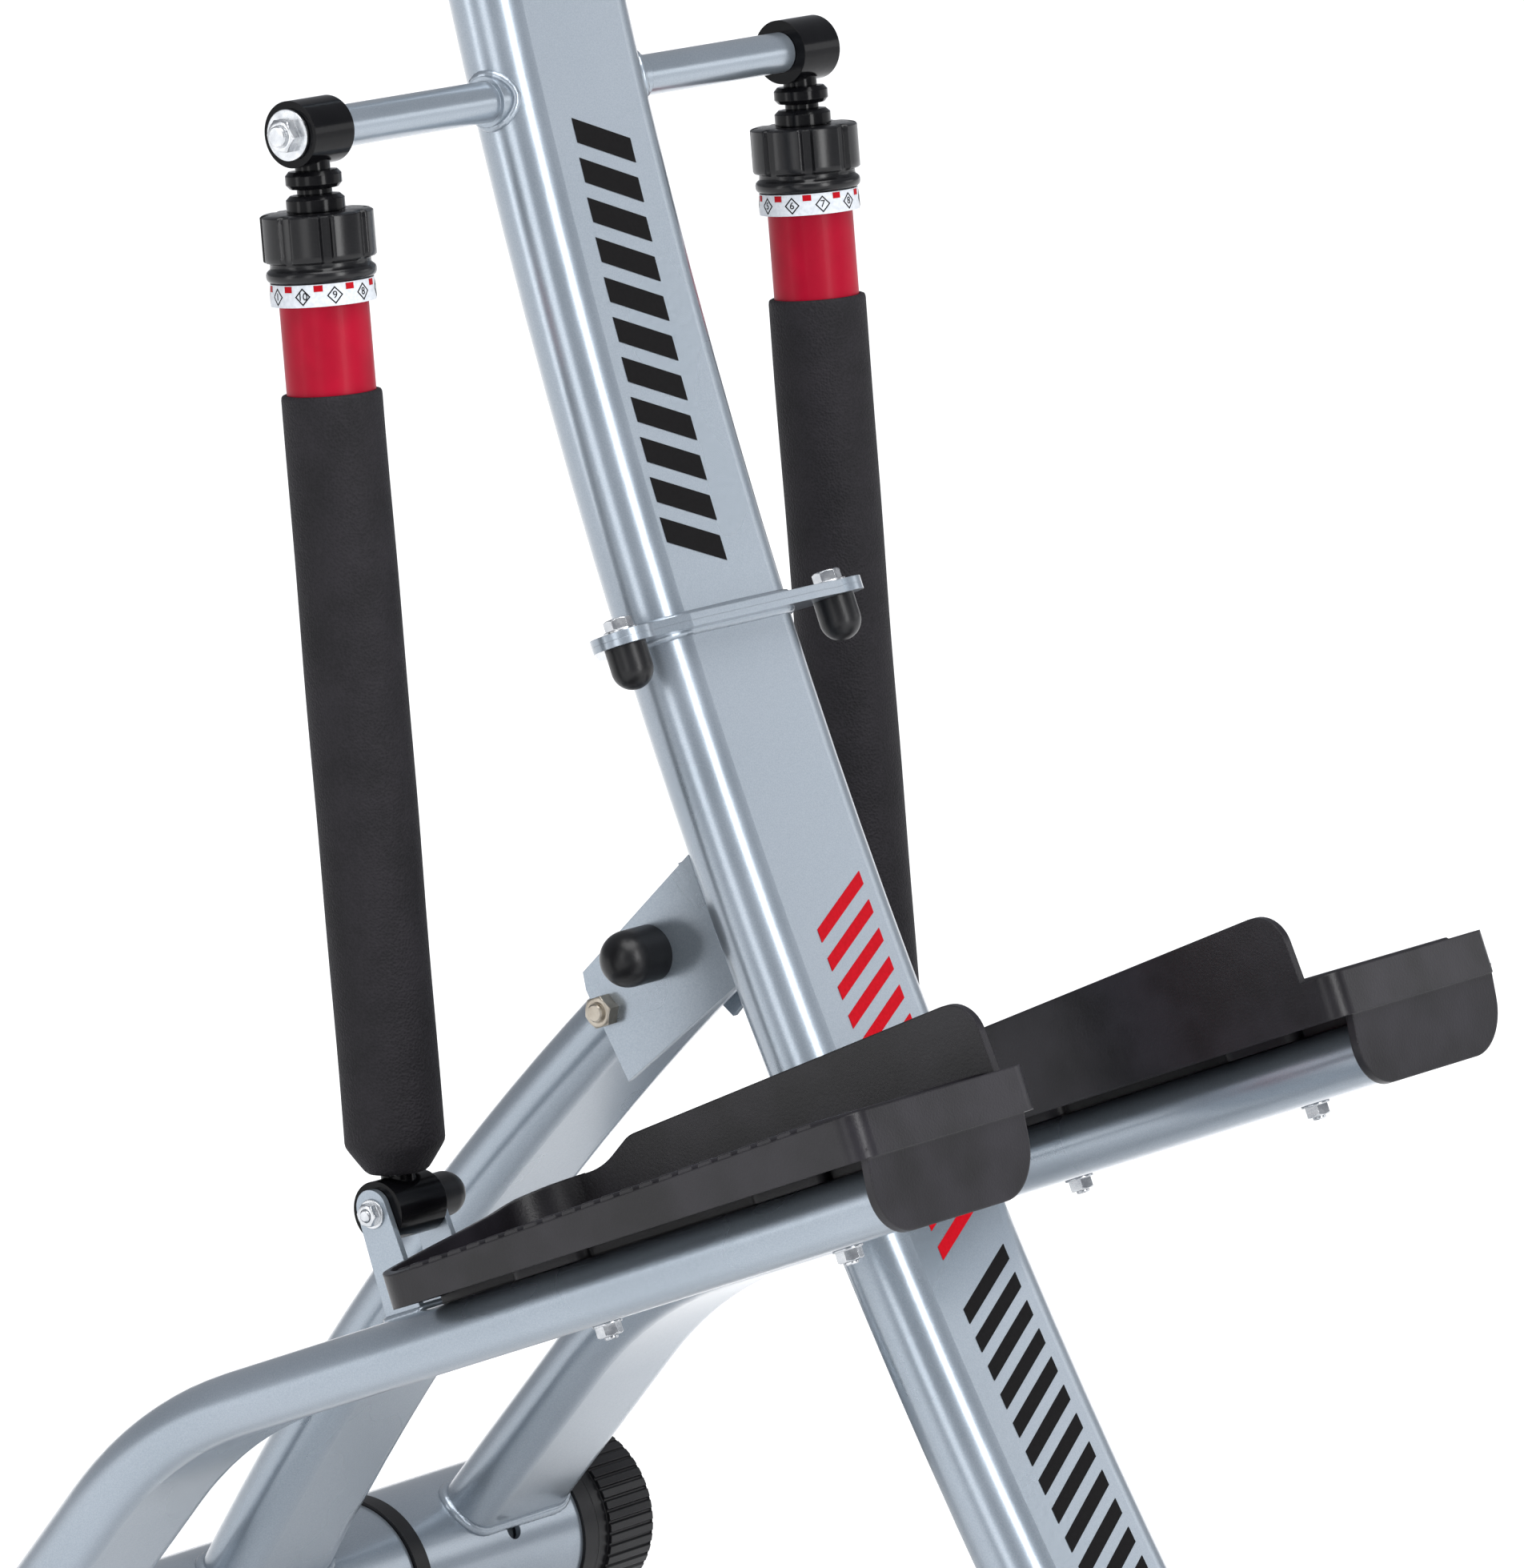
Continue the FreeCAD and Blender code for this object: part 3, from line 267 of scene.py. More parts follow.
def mouldedPlastic(name, dark, light, roughness, grain=0.0008, depth=0.00004, edge=0.0006, shine=0.3):
    # Injection-moulded plastic with a spark-eroded grain, which spreads its highlights
    material, tree, shader = newMaterial(name, dark, 0.0, roughness, IOR=1.49, Specular_IOR_Level=shine)
    place = objectPlace(tree)
    fine = noise(tree, place, grain, 2.0)
    broad = noise(tree, place, 0.03, 2.0)
    tree.links.new(blendColour(tree, broad.outputs["Fac"], dark, light), shader.inputs["Base Color"])
    finishNormal(tree, shader, [(fine.outputs["Fac"], depth)], edge)
    return material


def enamel(name, dark, light, roughness=0.16):
    # Stoved enamel: a smooth film, full in colour, with a narrow highlight
    material, tree, shader = newMaterial(name, dark, 0.0, roughness, IOR=1.5, Specular_IOR_Level=0.12,
                                         Coat_Weight=0.02, Coat_Roughness=0.08)
    place = objectPlace(tree)
    broad = noise(tree, place, 0.02, 2.0)
    peel = noise(tree, place, 0.004, 1.0)
    tree.links.new(blendColour(tree, broad.outputs["Fac"], dark, light), shader.inputs["Base Color"])
    finishNormal(tree, shader, [(peel.outputs["Fac"], 0.00004)], 0.0005)
    return material


def closedCellFoam():
    # Closed-cell NBR foam, extruded: dull, its skin pebbled by cells of about a millimetre
    material, tree, shader = newMaterial("closedCellFoam", "#161518", 0.0, 0.68, IOR=1.45,
                                         Specular_IOR_Level=0.24)
    place = objectPlace(tree)
    cells = addNode(tree, "ShaderNodeTexVoronoi", {"Scale": 1 / 0.0011}, {"Vector": place})
    broad = noise(tree, place, 0.02, 3.0)
    mixed = addNode(tree, "ShaderNodeMath", {"operation": "MULTIPLY_ADD", 1: 0.45},
                    {0: cells.outputs["Distance"], 2: broad.outputs["Fac"]})
    tone = blendColour(tree, mixed.outputs[0], "#121114", "#1E1C20", 0.45, 0.95)
    tree.links.new(tone, shader.inputs["Base Color"])
    finishNormal(tree, shader, [(broad.outputs["Fac"], 0.0006), (cells.outputs["Distance"], 0.00035)])
    return material


def platedMetal(name, low, high, roughness):
    # Electroplate over machined steel: bright, its shine clouded in patches a few millimetres across
    material, tree, shader = newMaterial(name, low, 1.0, roughness)
    place = objectPlace(tree)
    cloud = noise(tree, place, 0.006, 3.0)
    scratch = noise(tree, place, 0.0004, 1.0)
    tree.links.new(blendColour(tree, cloud.outputs["Fac"], low, high), shader.inputs["Base Color"])
    rough = addNode(tree, "ShaderNodeMapRange", {"From Min": 0.3, "From Max": 0.7, "To Min": roughness * 0.8,
                                                 "To Max": roughness * 1.35}, {"Value": cloud.outputs["Fac"]})
    tree.links.new(rough.outputs["Result"], shader.inputs["Roughness"])
    finishNormal(tree, shader, [(scratch.outputs["Fac"], 0.00001)], 0.0004)
    return material


def hardChrome():
    # Hard chrome on a ground rod: mirror-bright, with faint rings left by the grinding wheel
    material, tree, shader = newMaterial("hardChrome", "#D9DCDF", 1.0, 0.07)
    place = objectPlace(tree)
    rings = addNode(tree, "ShaderNodeTexWave", {"bands_direction": "Z", "Scale": 260.0, "Distortion": 1.5,
                                                "Detail": 2.0}, {"Vector": place})
    rough = addNode(tree, "ShaderNodeMapRange", {"To Min": 0.05, "To Max": 0.11},
                    {"Value": rings.outputs["Fac"]})
    tree.links.new(rough.outputs["Result"], shader.inputs["Roughness"])
    finishNormal(tree, shader, [(rings.outputs["Fac"], 0.000002)])
    return material


def clearAcrylic():
    # Clear acrylic over the display: shows what is under it and adds one clean reflection
    material, tree, shader = newMaterial("clearAcrylic", "#E9F0F2", 0.0, 0.03, IOR=1.49,
                                         Transmission_Weight=0.95)
    place = objectPlace(tree)
    haze = noise(tree, place, 0.01, 2.0)
    rough = addNode(tree, "ShaderNodeMapRange", {"To Min": 0.02, "To Max": 0.06},
                    {"Value": haze.outputs["Fac"]})
    tree.links.new(rough.outputs["Result"], shader.inputs["Roughness"])
    return material


def printedFilm(name, colour, light, roughness=0.35):
    # Screen-printed ink on a thin film: flat colour with a soft shine
    material, tree, shader = newMaterial(name, colour, 0.0, roughness, IOR=1.5, Specular_IOR_Level=0.1)
    place = objectPlace(tree)
    grain = noise(tree, place, 0.0015, 2.0)
    tree.links.new(blendColour(tree, grain.outputs["Fac"], colour, light), shader.inputs["Base Color"])
    finishNormal(tree, shader, [(grain.outputs["Fac"], 0.00001)])
    return material


materials = {
    "frame_paint": powderCoat(),
    "black_plastic": mouldedPlastic("blackPolypropylene", "#0E0E10", "#151517", 0.34),
    "black_enamel": enamel("glossBlackEnamel", "#08080A", "#0D0D0F"),
    "red_enamel": enamel("glossRedEnamel", "#8A001E", "#960022", 0.42),
    "foam": closedCellFoam(),
    "pedal_plastic": mouldedPlastic("pedalPolypropylene", "#0C0A0E", "#1C1A1F", 0.36, 0.0011, 0.00007,
                                    0.0012, 0.34),
    "zinc": platedMetal("brightZinc", "#B4B7BB", "#D2D4D6", 0.24),
    "rod_chrome": hardChrome(),
    "scale_label": printedFilm("labelFilm", "#B9BEC4", "#C6CACF"),
    "bush_plastic": mouldedPlastic("blackNylon", "#111113", "#18181A", 0.40),
    "console_plastic": mouldedPlastic("consoleAbs", "#212427", "#282B2E", 0.45),
    "lens": clearAcrylic(),
    "screen": printedFilm("liquidCrystal", "#9AA596", "#A3AD9E", 0.3),
    "button_rubber": mouldedPlastic("siliconeRubber", "#A81A20", "#B52228", 0.5),
    # beyond the CAD's own slots
    "dialPlastic": mouldedPlastic("dialAbs", "#0C0C0E", "#131315", 0.24, 0.0012, 0.00002),
    "agedZinc": platedMetal("yellowedZinc", "#9C9488", "#B9B2A6", 0.34),
    "blackInk": printedFilm("blackScreenInk", "#070607", "#0B0A0B", 0.5),
    "redInk": printedFilm("redScreenInk", "#97000F", "#A20214", 0.5),
}
for row in frame["record"]["subparts"]:
    node = nodes[row["node"]]
    for slot in node.material_slots:
        slot.material = materials[row["material_slot"]]
print("materials:", len(materials))


# Camera, floor and light

view = {"place": (-2.8586, 3.5814, 1.3964), "target": (-0.033, 0.0, 0.471), "lens": 248.07}
cameraData = bpy.data.cameras.new("camera")
cameraData.lens = view["lens"]
cameraData.sensor_width = 36.0
cameraData.clip_end = 200.0

studio = {
    "floorHalf": 60.0, "floorColour": "#F7F7F7", "worldColour": "#F4F7FF", "worldStrength": 0.37,
    # a wide overhead light: watts per square metre, direction it comes from, angle across in degrees
    "overhead": (3.05, (-0.25, 0.15, 1.0), 50.0),
    # name, place, aimed at, width, height, watts
    "lights": [
        ("keySoftbox", (-0.8, 3.6, 1.7), (0, 0, 0.6), 1.1, 2.8, 27.0),
        ("mastSoftbox", (-1.9, -2.6, 1.15), (0.1, 0, 0.6), 1.6, 0.8, 7.0),
        ("edgeStrip", (-3.0, 0.6, 1.6), (0, 0, 0.6), 0.8, 2.6, 62.0),
        ("frontStrip", (1.6, 2.8, 1.2), (0, 0, 0.5), 0.7, 2.4, 16.0),
    ],
}


def aimed(name, data, place, aim):
    # An object at a place, its own -Z turned to the aim
    thing = bpy.data.objects.new(name, data)
    thing.location = place
    thing.rotation_mode = "QUATERNION"
    thing.rotation_quaternion = (Vector(aim) - Vector(place)).to_track_quat("-Z", "Y")
    bpy.context.scene.collection.objects.link(thing)
    return thing


def areaLight(name, place, aim, width, height, watts):
    data = bpy.data.lights.new(name, "AREA")
    data.shape, data.size, data.size_y, data.energy = "RECTANGLE", width, height, watts
    aimed(name, data, place, aim)


bpy.context.scene.camera = aimed("camera", cameraData, view["place"], view["target"])
for row in studio["lights"]:
    areaLight(*row)
strength, fromWhere, across = studio["overhead"]
sunData = bpy.data.lights.new("overheadDiffuser", "SUN")
sunData.energy, sunData.angle = strength, math.radians(across)
aimed("overheadDiffuser", sunData, (0, 0, 0), -Vector(fromWhere))
world = bpy.data.worlds.new("studio")
world.use_nodes = True
background = world.node_tree.nodes["Background"]
background.inputs["Color"].default_value = linearColour(studio["worldColour"])
background.inputs["Strength"].default_value = studio["worldStrength"]
bpy.context.scene.world = world
bpy.context.scene.view_settings.view_transform = "Standard"

edge = studio["floorHalf"] / mm
corners = np.array([[[-edge, -edge, 0.0], [-edge, edge, 0.0]], [[edge, -edge, 0.0], [edge, edge, 0.0]]])
floor = gridMesh("floor", [corners], closeU=False)
floorPaint, floorTree, floorShader = newMaterial("matteBackdrop", studio["floorColour"], 0.0, 0.9)
floor.data.materials.append(floorPaint)
print("studio ready")


# Foam sleeves and grips

upperEye = np.array([layout["upperEye"][0], layout["sideY"], layout["upperEye"][1]])
lowerEye = np.array([layout["lowerEye"][0], layout["sideY"], layout["lowerEye"][1]])
cylinderDown = unit(lowerEye - upperEye)
foam = {
    "radius": 21.6, "inner": 19.05, "gland": 10.7, "mouth": 12.6, "wave": 0.16,
    "start": 110.0, "end": 444.0, "glandTop": 429.0,       # distances down from the upper eye
    # how far in from the skin and how far down from the top, then how far in and how far up from the end
    "rolledEdge": [(1.3, 0.0), (0.5, 0.35), (0.15, 1.0)],
    "drawnEnd": [(0.3, 12.0), (1.3, 10.2), (3.2, 7.4), (5.4, 4.2), (7.6, 1.2)],
}


def foamRipple(turn, distance):
    # Foam is never quite round: two slow sine waves round and along it, a sixth of a millimetre high
    return foam["wave"] * (np.sin(distance / 41.0 + 2 * turn) + 0.6 * np.sin(distance / 17.0 - turn + 1.0))


def foamSleeve():
    # A profile carried round the cylinder: down the skin from rolled edge to drawn-in end, up the inside
    start, end, radius = foam["start"], foam["end"], foam["radius"]
    outer = [(foam["inner"], start + 0.1)]
    outer += [(radius - inward, start + down) for inward, down in foam["rolledEdge"]]
    outer += [(radius, s) for s in np.linspace(start + 2.2, end - 13.5, 48)]
    outer += [(radius - inward, end - up) for inward, up in foam["drawnEnd"]]
    outer += [(foam["mouth"], end - 0.1), (11.4, end), (foam["gland"], end - 0.4)]
    inner = [(foam["gland"], foam["glandTop"]), (foam["inner"], foam["glandTop"] - 0.4),
             (foam["inner"], 300.0)]
    return revolve(outer + inner, upperEye, cylinderDown, count=72, ripple=foamRipple)


sleeveShape = foamSleeve()
for side in ("left", "right"):
    sleeve = gridMesh(f"{side}FoamSleeve", onSide(side, [sleeveShape]), closeV=True, sharp=60.0)
    dressed(sleeve, materials["foam"], f"{side}_cylinder", [f"{side}_foam_sleeve"])

grips = {"radius": 18.0, "inner": 14.05, "length": 130.0, "roll": 2.4, "plain": 12.0, "grooves": 9,
         "dip": 0.55}


def onBar(forward, y):
    # A point of the handlebar's tilted plane, this far forward of its middle
    tilt = math.radians(layout["barTilt"])
    return np.array([layout["barMiddle"][0] + forward * math.cos(tilt), y,
                     layout["barMiddle"][1] - forward * math.sin(tilt)])


def gripSleeve():
    # A round sleeve with rolled ends; between its plain ends each finger groove is one cosine dip
    run = np.linspace(grips["roll"], grips["length"] - 0.6, 110)
    share = (run - grips["plain"]) / (grips["length"] - 2 * grips["plain"])
    groove = 0.5 - 0.5 * np.cos(2 * math.pi * grips["grooves"] * share)
    dip = np.where((share > 0) & (share < 1), groove, 0.0)
    roll = [(grips["inner"], 0.0), (16.0, 0.0), (17.2, 0.5), (17.8, 1.3)]
    skin = list(zip(grips["radius"] - grips["dip"] * dip, run))
    back = [(17.4, grips["length"]), (grips["inner"], grips["length"])]
    start = onBar(-layout["barReach"] + grips["length"], layout["barHalfWidth"])
    end = onBar(-layout["barReach"], layout["barHalfWidth"])
    return revolve(roll + skin + back, start, end - start)


gripShape = gripSleeve()
for side in ("left", "right"):
    grip = gridMesh(f"{side}Grip", onSide(side, [gripShape]), closeV=True, sharp=60.0)
    dressed(grip, materials["foam"], "frame", ["handlebar_grips"])
print("foam sleeves and grips")


# Damping dials and their scales

dial = {"lobes": 8, "lobeShare": 0.74, "rise": 2.0, "start": 33.5, "lobeEnd": 54.0, "end": 62.3, "bore": 9.75}


def smoothStep(low, high, value):
    share = np.clip((value - low) / (high - low), 0, 1)
    return share * share * (3 - 2 * share)


def dialBody():
    # Radius over angle and height: raised panels between narrow grooves, a waist, then a round bead
    start, lobeEnd, end, bore = dial["start"], dial["lobeEnd"], dial["end"], dial["bore"]
    # each row: distance down from the eye, radius, share of the rise
    rows = [(start, bore, 0), (start, 20.0, 1), (start + 0.35, 21.2, 1)]
    rows += [(level, 22.0, 1) for level in (start + 1.0, 37.0, 42.0, 47.0, 51.0, 53.0)]
    rows += [(lobeEnd - 0.4, 21.9, 0.75), (lobeEnd, 21.6, 0.25), (lobeEnd + 0.4, 21.4, 0), (55.6, 21.4, 0)]
    rows += [(56.5, 21.6, 0), (57.1, 22.4, 0), (57.8, 23.1, 0), (58.8, 23.4, 0), (60.0, 23.4, 0)]
    rows += [(61.0, 23.1, 0), (61.6, 22.6, 0), (end, 21.8, 0), (end, bore, 0), (start + 1.2, bore, 0)]
    level, base, raised = np.array(rows, float).T
    turn = fullTurn(240)
    share = (turn / (2 * math.pi) * dial["lobes"]) % 1.0
    lobe = dial["lobeShare"]
    panel = smoothStep(0.0, 0.07, share) * (1 - smoothStep(lobe, lobe + 0.07, share))
    return carriedRound(base + dial["rise"] * panel * raised, level, turn, upperEye, cylinderDown)


dialShape = dialBody()
for side in ("left", "right"):
    piece = gridMesh(f"{side}DampingDial", onSide(side, [dialShape]), closeV=True, sharp=50.0)
    dressed(piece, materials["dialPlastic"], f"{side}_dial_knob", [f"{side}_dial"])

scale = {"start": 62.6, "end": 72.0, "radius": 22.0, "flare": 0.4, "steps": 10, "lift": 0.12, "middle": 0.52,
         "digit": 4.4, "film": 0.1}


def onScale(angle, height, lift):
    # Points of the scale's slight cone: angle round the cylinder, height from 0 at the top edge to 1 below
    first, second, along = frameAlong(cylinderDown)
    radius = (scale["radius"] + scale["flare"] * height + lift)[..., None]
    distance = (scale["start"] + (scale["end"] - scale["start"]) * height)[..., None]
    around = np.cos(angle)[..., None] * first + np.sin(angle)[..., None] * second
    return upperEye + radius * around + distance * along


def scalePatch(corners):
    # A thin raised patch: the blend of four (degrees, height) corners in both directions, bent to the ring
    a, b = np.meshgrid(np.linspace(0, 1, 4), np.linspace(0, 1, 2), indexing="ij")
    c = np.array(corners, float)
    a, b = a[..., None], b[..., None]
    mixed = (1 - a) * ((1 - b) * c[0] + b * c[3]) + a * ((1 - b) * c[1] + b * c[2])
    angle, height = np.radians(mixed[..., 0]), mixed[..., 1]
    top = onScale(angle, height, scale["lift"])
    foot = onScale(angle, height, -0.05)
    return np.concatenate([foot[:, :1], top, foot[:, 1:]], 1)


def scaleMarks():
    # Red blocks along the top edge, and between them dark rhombus outlines for the digits
    step = 360.0 / scale["steps"]
    red, dark = [], []
    for i in range(scale["steps"]):
        block = i * step
        red.append(scalePatch([(block - 5, 0.04), (block + 5, 0.04), (block + 5, 0.32), (block - 5, 0.32)]))
        centre = np.array([block + step / 2, scale["middle"]])
        tips = [centre + tip for tip in ((-9, 0), (0, -0.4), (9, 0), (0, 0.4))]
        for a, b in zip(tips, tips[1:] + tips[:1]):
            dark.append(scalePatch([a, b, b + (centre - b) * 0.2, a + (centre - a) * 0.2]))
    return red, dark


def digitMesh(text, angle, way):
    # A digit's outline from the built-in font, filled, then wrapped round the ring; way is 1 or -1 round it
    curve = bpy.data.curves.new("digit", "FONT")
    curve.body, curve.size, curve.align_x, curve.align_y = text, scale["digit"], "CENTER", "CENTER"
    holder = bpy.data.objects.new("digit", curve)
    bpy.context.scene.collection.objects.link(holder)
    bpy.context.view_layer.update()
    flat = bpy.data.meshes.new_from_object(holder.evaluated_get(bpy.context.evaluated_depsgraph_get()))
    co = np.zeros(len(flat.vertices) * 3)
    flat.vertices.foreach_get("co", co)
    co = co.reshape(-1, 3)
    faces = [list(face.vertices) for face in flat.polygons]
    bpy.data.objects.remove(holder)
    bpy.data.meshes.remove(flat)
    turned = math.radians(angle) + way * co[:, 0] / scale["radius"]
    height = scale["middle"] - co[:, 1] / (scale["end"] - scale["start"])
    return onScale(turned, height, scale["lift"]), faces


def digitPiece(name, flip):
    # All a ring's digits as one mesh, one after the other round it; flip is 1 on the left, -1 on the right
    points, faces, count = [], [], 0
    for i in range(scale["steps"]):
        placed, some = digitMesh(str(i + 1), (i + 0.5) * 360.0 / scale["steps"], -flip)
        points.append(placed * mm * np.array([1.0, flip, 1.0]))
        faces += [[index + count for index in face[::-1]] for face in some]
        count += len(placed)
    mesh = bpy.data.meshes.new(name)
    mesh.from_pydata(np.concatenate(points).tolist(), [], faces)
    piece = bpy.data.objects.new(name, mesh)
    bpy.context.scene.collection.objects.link(piece)
    return piece


redMarks, darkMarks = scaleMarks()
for side, flip in (("left", 1), ("right", -1)):
    dressed(gridMesh(f"{side}ScaleBlocks", onSide(side, redMarks), closeU=False), materials["redInk"],
            f"{side}_cylinder")
    dressed(gridMesh(f"{side}ScaleOutlines", onSide(side, darkMarks), closeU=False), materials["blackInk"],
            f"{side}_cylinder")
    digits = digitPiece(f"{side}ScaleDigits", flip)
    film = digits.modifiers.new("filmThickness", "SOLIDIFY")
    film.thickness, film.offset = scale["film"] * mm, 0.0
    dressed(digits, materials["blackInk"], f"{side}_cylinder")
print("dials and scales")


# Bolts and nuts

def disc(origin, axis, radius, thick, bevel=0.25):
    # A washer, shank or boss: a short bar with bevelled edges, carried round its axis
    profile = [(0, 0), (radius - bevel, 0), (radius, bevel), (radius, thick - bevel), (radius - bevel, thick),
               (0, thick)]
    return revolve(profile, origin, axis, count=48)


def hexHead(origin, axis, flats, height, hint=(0.0, 0.0, 1.0)):
    # A chamfered hexagon, dished on top: over angle and height, the lesser of its edge and a 30 degree cone
    chamfer, dish = 0.085 * flats, 0.35
    levels = np.array([0, 0, 0.5 * (height - chamfer), height - chamfer, height - 0.75 * chamfer,
                       height - 0.5 * chamfer, height - 0.25 * chamfer, height, height, height - dish,
                       height - dish])
    cone = flats * 0.468 + (height - levels) * 1.73
    cone[[0, -1]] = 0.0
    cone[-3:-1] = flats * 0.34, flats * 0.30
    turn = fullTurn(72)
    hexagon = flats / 2 / np.cos((turn + math.pi / 6) % (math.pi / 3) - math.pi / 6)
    return carriedRound(np.minimum(hexagon, cone), levels, turn, origin, axis, hint)


def boltGrids(seat, axis, shank, washer, head, boss=None, hint=(0.0, 0.0, 1.0)):
    # Shank behind the seat, washer on it, head on the washer and a boss on the head, each a pair of sizes
    axis, seat = unit(axis), np.array(seat, float)
    grids = [disc(seat - axis * shank[1], axis, shank[0], shank[1] + 0.2),
             disc(seat, axis, washer[0], washer[1]),
             hexHead(seat + axis * washer[1], axis, head[0], head[1], hint)]
    if boss:
        grids.append(disc(seat + axis * (washer[1] + head[1] - 0.4), axis, boss[0], boss[1] + 0.4, 0.5))
    return grids


yAxis = np.array([0.0, 1.0, 0.0])
slope = math.radians(layout["armSlope"])
armRearward = np.array([-math.cos(slope), 0.0, math.sin(slope)])
armNormal = np.array([math.sin(slope), 0.0, math.cos(slope)])


def alongArm(u, v, y):
    # Points of the arm's own frame: u to the rear, v square above its centre line, y across
    u, v, y = np.broadcast_arrays(u, v, y)
    anchor = np.array([layout["armAnchor"][0], 0.0, layout["armAnchor"][1]])
    return anchor + u[..., None] * armRearward + v[..., None] * armNormal + y[..., None] * yAxis


def treadTop(u):
    # The tread plate rises evenly to the rear, from this height above the arm's centre line at its toe
    toe, height, rise = layout["treadPlane"]
    return height + rise * (u - toe)


def arcSpot(centre, bend, z):
    # The point of an XZ arc at this height, and the arc's outward and upward directions there
    drop = z - centre[1]
    outward = np.array([math.sqrt(bend ** 2 - drop ** 2) / bend, 0.0, drop / bend])
    spot = np.array([centre[0], 0.0, centre[1]]) + outward * bend
    return spot, outward, np.array([-outward[2], 0.0, outward[0]])


fasteners = {
    # shank radius and length, washer radius and thickness, hexagon's flats and height, boss radius and height
    "hanger": ((5.0, 30.0), (11.0, 1.8), (13.0, 4.8), (4.5, 2.0)), "hangerSeat": 12.9,
    "clevis": ((5.0, 36.8), (6.4, 1.2), (9.0, 3.6), (2.6, 0.8)), "clevisSeat": 18.4,
    "flange": ((4.0, 15.0), (7.6, 1.4), (11.0, 4.8)),
    "pedal": ((3.0, 38.0), (6.6, 1.1), (10.0, 4.9), (3.0, 1.4)), "pedalSunk": 3.0,
    "pedalHead": [(0, 0), (6.2, 0), (6.3, 0.4), (5.6, 1.5), (4.0, 2.2), (1.6, 2.4), (1.6, 1.2), (0, 1.2)],
    "legNut": (13.0, 6.5), "legHead": (13.0, 5.6), "legShank": 4.0, "legPast": 8.5,
    "legPlaces": ((-5.0, 400.0), (19.5, 371.3)), "bracketPlate": 3.3,
}
hanger = boltGrids(upperEye + yAxis * fasteners["hangerSeat"], yAxis, *fasteners["hanger"])
clevis = boltGrids(lowerEye + yAxis * fasteners["clevisSeat"], yAxis, *fasteners["clevis"])
dressed(gridMesh("hangerBolts", hanger + onSide("right", hanger)), materials["zinc"], "frame",
        ["hanger_bolts"])
flangeSpot, flangeForward, flangeUp = arcSpot(layout["mastCentre"], layout["mastBend"], layout["flangeZ"])
flangeBolts = []
for y in (layout["flangeEarY"], -layout["flangeEarY"]):
    seat = flangeSpot - flangeForward * layout["flangeEarBack"] + yAxis * y + flangeUp * layout["flangePlate"]
    flangeBolts += boltGrids(seat, flangeUp, *fasteners["flange"], hint=(0.3, 1.0, 0.0))
dressed(gridMesh("flangeBolts", flangeBolts), materials["zinc"], "frame", ["flange_bolts"])
legOuter = layout["ovalWidth"] / 2 + fasteners["bracketPlate"]
legBolts = []
for x, z in fasteners["legPlaces"]:
    near, far = np.array([x, legOuter, z]), np.array([x, -legOuter, z])
    legBolts += [disc(far, yAxis, fasteners["legShank"], 2 * legOuter + fasteners["legPast"], 0.6),
                 hexHead(near, yAxis, *fasteners["legNut"], hint=(0.4, 0.0, 1.0)),
                 hexHead(far, -yAxis, *fasteners["legHead"], hint=(0.2, 0.0, 1.0))]
dressed(gridMesh("legBolts", legBolts), materials["agedZinc"], "frame", ["leg_bolts"])
pedalSets = []
for u in layout["pedalBolts"]:
    low = alongArm(u, -layout["ovalThick"] / 2, layout["sideY"])
    pedalSets += boltGrids(low, -armNormal, *fasteners["pedal"], hint=(0.2, 1.0, 0.0))
    top = alongArm(u, treadTop(u) - fasteners["pedalSunk"], layout["sideY"])
    pedalSets.append(revolve(fasteners["pedalHead"], top, armNormal, count=48))
for side in ("left", "right"):
    dressed(gridMesh(f"{side}PedalBolts", onSide(side, pedalSets)), materials["zinc"], f"{side}_arm",
            [f"{side}_pedal_bolts"])
    dressed(gridMesh(f"{side}ClevisBolt", onSide(side, clevis)), materials["zinc"], f"{side}_arm",
            [f"{side}_clevis_bolt"])
print("bolts and nuts")


# Welds

def ovalOnCylinder(axle, direction, reach, width, thick, y):
    # Where a flat-oval tube meets a round one along Y: out along the tube by the root of reach^2 - offset^2
    across, offset = flatOval(width, thick, 150)
    away = unit(direction)
    normal = np.array([-away[2], 0.0, away[0]])
    out = np.sqrt(reach ** 2 - offset ** 2)
    return axle + yAxis * y + out[:, None] * away + offset[:, None] * normal + across[:, None] * yAxis


def ovalLoop(spot, outward, width, thick):
    # A flat-oval loop in the plane of Y and the outward direction
    across, offset = flatOval(width, thick, 170)
    return spot + offset[:, None] * outward + across[:, None] * yAxis


def straightLoop(corners, perSide=24):
    # Points evenly along a closed polygon of (u, y) corners
    c = np.array(corners + corners[:1], float)
    share = np.linspace(0, 1, perSide, endpoint=False)[:, None]
    return np.concatenate([a + (b - a) * share for a, b in zip(c[:-1], c[1:])])


welds = {
    "sleeve": 2.5, "flange": 2.1, "hanger": 1.9, "clevis": 1.7,      # bead radii
    "sleeveReach": 38.6, "hangerRing": 11.4, "clevisHalfRun": 10.3, "clevisHalfWidth": 18.6, "ovalGap": 0.6,
}
axle = np.array([layout["axle"][0], 0.0, layout["axle"][1]])
armCorner = np.array([layout["armCorner"][0], 0.0, layout["armCorner"][1]])
ovalSize = (layout["ovalWidth"], layout["ovalThick"])
armWeld = bead(ovalOnCylinder(axle, armCorner - axle, welds["sleeveReach"], *ovalSize, layout["sideY"]),
               welds["sleeve"])
armTop = layout["ovalThick"] / 2
footRun = np.dot(lowerEye - yAxis * layout["sideY"] - alongArm(0.0, armTop + 0.3, 0.0), armRearward)
